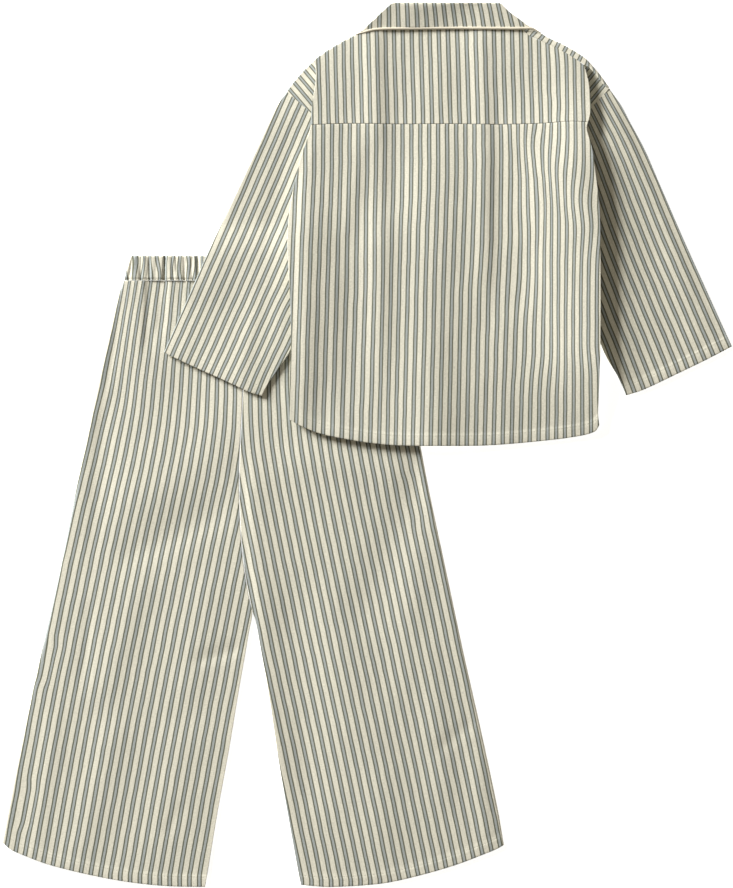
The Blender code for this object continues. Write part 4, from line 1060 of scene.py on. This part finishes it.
PIPING_RADIUS = 1.4
PIPING_DROP = 0.35
PIPING_TAPER = 14.0              # each end thins out and dips towards the shoulder over this length
PIPING_THIN = 0.6                # by this share of its radius
PIPING_DIP = 1.0
PIPING_TONES = [(0.3, (0.70, 0.65, 0.52, 1)), (0.7, (0.79, 0.74, 0.62, 1))]


def collar_half(edges, face, turn):
    """Points of the leaf or the stand, from the roll down: `face` is its height over the bed and
    `turn` how far it leaves that height at the roll and, a little less, at both ends."""
    across = point_shares(COLLAR_SPAN, COLLAR_CELL, SIDE_ROWS, SIDE_ROWS)[0]
    points = inside_edges(edges, *np.meshgrid(across, np.array(COLLAR_ROWS) / COLLAR_FALL))
    away = distances_from_sides(points)
    at_roll = rolled_down(away["top"], turn, COLLAR_TURN)
    at_ends = rolled_down(away["nearer"], turn - np.sign(turn) * COLLAR_ENDS_LESS)
    lift = np.where(np.abs(at_roll) > np.abs(at_ends), at_roll, at_ends)
    settled = eased(away["nearer"] / COLLAR_SETTLE[0]) * eased(away["top"] / COLLAR_SETTLE[1])
    drape = (soft_creases(points, COLLAR_CREASES) + unevenness(points, height=0.05, seed=4)) * settled
    slope = COLLAR_RISE * (1 - np.array(COLLAR_ROWS) / COLLAR_FALL)[:, None]
    return with_height(points, on_everything(points) + face + slope - lift + drape * (turn > 0))


leaf_edges = {"top": COLLAR_ROLL, "bottom": COLLAR_EDGE, "left": COLLAR_LEFT, "right": COLLAR_RIGHT}
stand_edges = {"top": COLLAR_ROLL, "bottom": NECK_SEAM, "left": [COLLAR_ROLL[0], NECK_SEAM[0]],
               "right": [COLLAR_ROLL[-1], NECK_SEAM[-1]]}
turn = (COLLAR_LEAF_FACE - COLLAR_STAND_FACE) / 2
leaf_points = collar_half(leaf_edges, COLLAR_LEAF_FACE, turn)
stand_points = collar_half(moved_bottom(stand_edges, 0, -NECK_GAP), COLLAR_STAND_FACE, -turn)
surface = np.concatenate([leaf_points[::-1], stand_points[1:]])[::-1]
leaf_numbers = stripe_numbers(leaf_points, COLLAR_LIE)
numbers = np.concatenate([leaf_numbers[::-1], np.repeat(leaf_numbers[:1], len(stand_points) - 1, 0)])
collar = cloth_piece("collar_cloth", surface, woven(surface, numbers[::-1]), ticking)
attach(collar, "root")
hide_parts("collar")


def piping_cotton():
    """Plain cream cotton on the bias: crossing diagonal yarns over the cord."""
    finish, tree, shader = new_finish("piping_cotton", {"Roughness": 0.85, "Sheen Weight": 0.1})
    weave = node(tree, "ShaderNodeUVMap", uv_map="weave").outputs["UV"]
    one_way = node(tree, "ShaderNodeTexWave", {"Vector": weave, "Scale": 9.0, "Distortion": 0.4},
                   bands_direction="DIAGONAL")
    shade = node(tree, "ShaderNodeTexNoise", {"Vector": weave, "Scale": 2.0, "Detail": 2.0},
                 noise_dimensions="2D")
    tones = colours_along(tree, shade.outputs["Fac"], PIPING_TONES)
    tree.links.new(tones, shader.inputs["Base Color"])
    bump = node(tree, "ShaderNodeBump", {"Height": one_way.outputs["Fac"], "Strength": 0.3,
                                         "Distance": 0.06 * MILLIMETRE})
    tree.links.new(bump.outputs[0], shader.inputs["Normal"])
    return finish


def covered_cord(name, path, radius, finish):
    """A round cord along a path: a circle of sixteen points carried along it and closed at the ends,
    with a radius for each point of the path that swells and shrinks a little on top."""
    around = 16
    way = np.gradient(path, axis=0)
    way /= np.linalg.norm(way, axis=1)[:, None]
    side = np.cross(way, (0, 0, 1.0))
    side /= np.linalg.norm(side, axis=1)[:, None]
    above = np.cross(side, way)
    travelled = travelled_along(path)
    turn = np.linspace(0, 2 * np.pi, around, endpoint=False)
    thick = radius * (1 + 0.05 * np.sin(travelled / 4.1) * np.sin(travelled / 11.3))
    thick[[0, -1]] *= 0.6
    circle = np.cos(turn)[None, :, None] * side[:, None] + np.sin(turn)[None, :, None] * above[:, None]
    points = path[:, None] + thick[:, None, None] * circle
    sides, caps, row, column = tube_faces(len(path), around)
    along = np.stack([travelled[row], travelled[row], travelled[row + 1], travelled[row + 1]], axis=-1)
    around_length = 2 * np.pi * radius.max() / around
    round_it = np.stack([column, column + 1, column + 1, column], axis=-1) * around_length
    at_corners = np.stack([round_it, along], axis=-1).reshape(-1, 2)
    at_caps = np.zeros((2 * around, 2))
    return shaped_piece(name, points, sides.tolist() + caps.tolist(), finish,
                        np.concatenate([at_corners, at_caps]))


path = measured_along(drawn_line(PIPING_LINE), np.linspace(0, 1, PIPING_POINTS))
travelled = travelled_along(path)
near_end = 1 - eased(np.minimum(travelled, travelled[-1] - travelled) / PIPING_TAPER)
path = with_height(path, on_everything(path) + COLLAR_LEAF_FACE - PIPING_DROP - PIPING_DIP * near_end)
piping = covered_cord("piping_cord", path, PIPING_RADIUS * (1 - PIPING_THIN * near_end), piping_cotton())
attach(piping, "root")
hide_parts("collar_piping")


# ---- The table, the light and the camera ----
# A plain near-white table, one low softbox at the upper left that draws the creases, and a warm
# even fill. The camera looks straight down on the middle of the layout.

TABLE_HALF = 4.0
TABLE_DROP = 0.1                 # how far it lies below the cloth
TABLE_TONES = [(0.0, (0.93, 0.93, 0.93, 1)), (1.0, (0.96, 0.96, 0.96, 1))]
LIGHT_HEIGHT = 21.0              # degrees above the table
LIGHT_TURN = 143.0               # degrees from the right, against the clock
LIGHT_AWAY = 5.0                 # metres from the middle of the layout
LIGHT_SIZE = 1.7
LIGHT_POWER = 512.0
LIGHT_COLOUR = (1.0, 0.99, 0.965)
FILL_COLOUR = (1.0, 0.90, 0.74, 1)
FILL_STRENGTH = 0.20
CAMERA_LENS = 200.0
CAMERA_SENSOR = 36.0
VIEW_LONG_SIDE = 888.0           # the longer side of the camera's view, in millimetres
VIEW_MIDDLE = (366.5, 444.0)     # the place on the layout that it looks down on

# matt and near-white, and bright of itself
pale_table = clouded_finish("pale_table", {
    "Roughness": 0.9, "Specular IOR Level": 0.1, "Emission Color": (1, 1, 1, 1),
    "Emission Strength": 0.82}, {"Scale": 3.0, "Detail": 2.0}, TABLE_TONES)
corners = [(TABLE_HALF * x, TABLE_HALF * y, -TABLE_DROP * MILLIMETRE)
           for x, y in ((-1, -1), (1, -1), (1, 1), (-1, 1))]
table_mesh = bpy.data.meshes.new("table_top")
table_mesh.from_pydata(corners, [], [(0, 1, 2, 3)])
table_mesh.materials.append(pale_table)
table_top = bpy.data.objects.new("table_top", table_mesh)
bpy.context.scene.collection.objects.link(table_top)

softbox = bpy.data.objects.new("softbox", bpy.data.lights.new("softbox", "AREA"))
softbox.data.size = LIGHT_SIZE
softbox.data.energy = LIGHT_POWER
softbox.data.color = LIGHT_COLOUR
up, turned = np.radians(LIGHT_HEIGHT), np.radians(LIGHT_TURN)
softbox.location = LIGHT_AWAY * np.array([np.cos(up) * np.cos(turned), np.cos(up) * np.sin(turned),
                                          np.sin(up)])
softbox.rotation_euler = (np.radians(90 - LIGHT_HEIGHT), 0, np.radians(LIGHT_TURN + 90))
bpy.context.scene.collection.objects.link(softbox)

world = bpy.data.worlds.new("fill")
world.use_nodes = True
fill = world.node_tree.nodes["Background"]
fill.inputs["Color"].default_value = FILL_COLOUR
fill.inputs["Strength"].default_value = FILL_STRENGTH
bpy.context.scene.world = world
bpy.context.scene.view_settings.view_transform = "Standard"

camera = bpy.data.objects.new("camera", bpy.data.cameras.new("camera"))
camera.data.lens = CAMERA_LENS
camera.data.sensor_width = CAMERA_SENSOR
away_from_table = VIEW_LONG_SIDE * MILLIMETRE * CAMERA_LENS / CAMERA_SENSOR
camera.location = ((VIEW_MIDDLE[0] - LAYOUT_MIDDLE[0]) * MILLIMETRE,
                   (LAYOUT_MIDDLE[1] - VIEW_MIDDLE[1]) * MILLIMETRE,
                   away_from_table + TWO_LAYERS * MILLIMETRE)
bpy.context.scene.collection.objects.link(camera)
bpy.context.scene.camera = camera
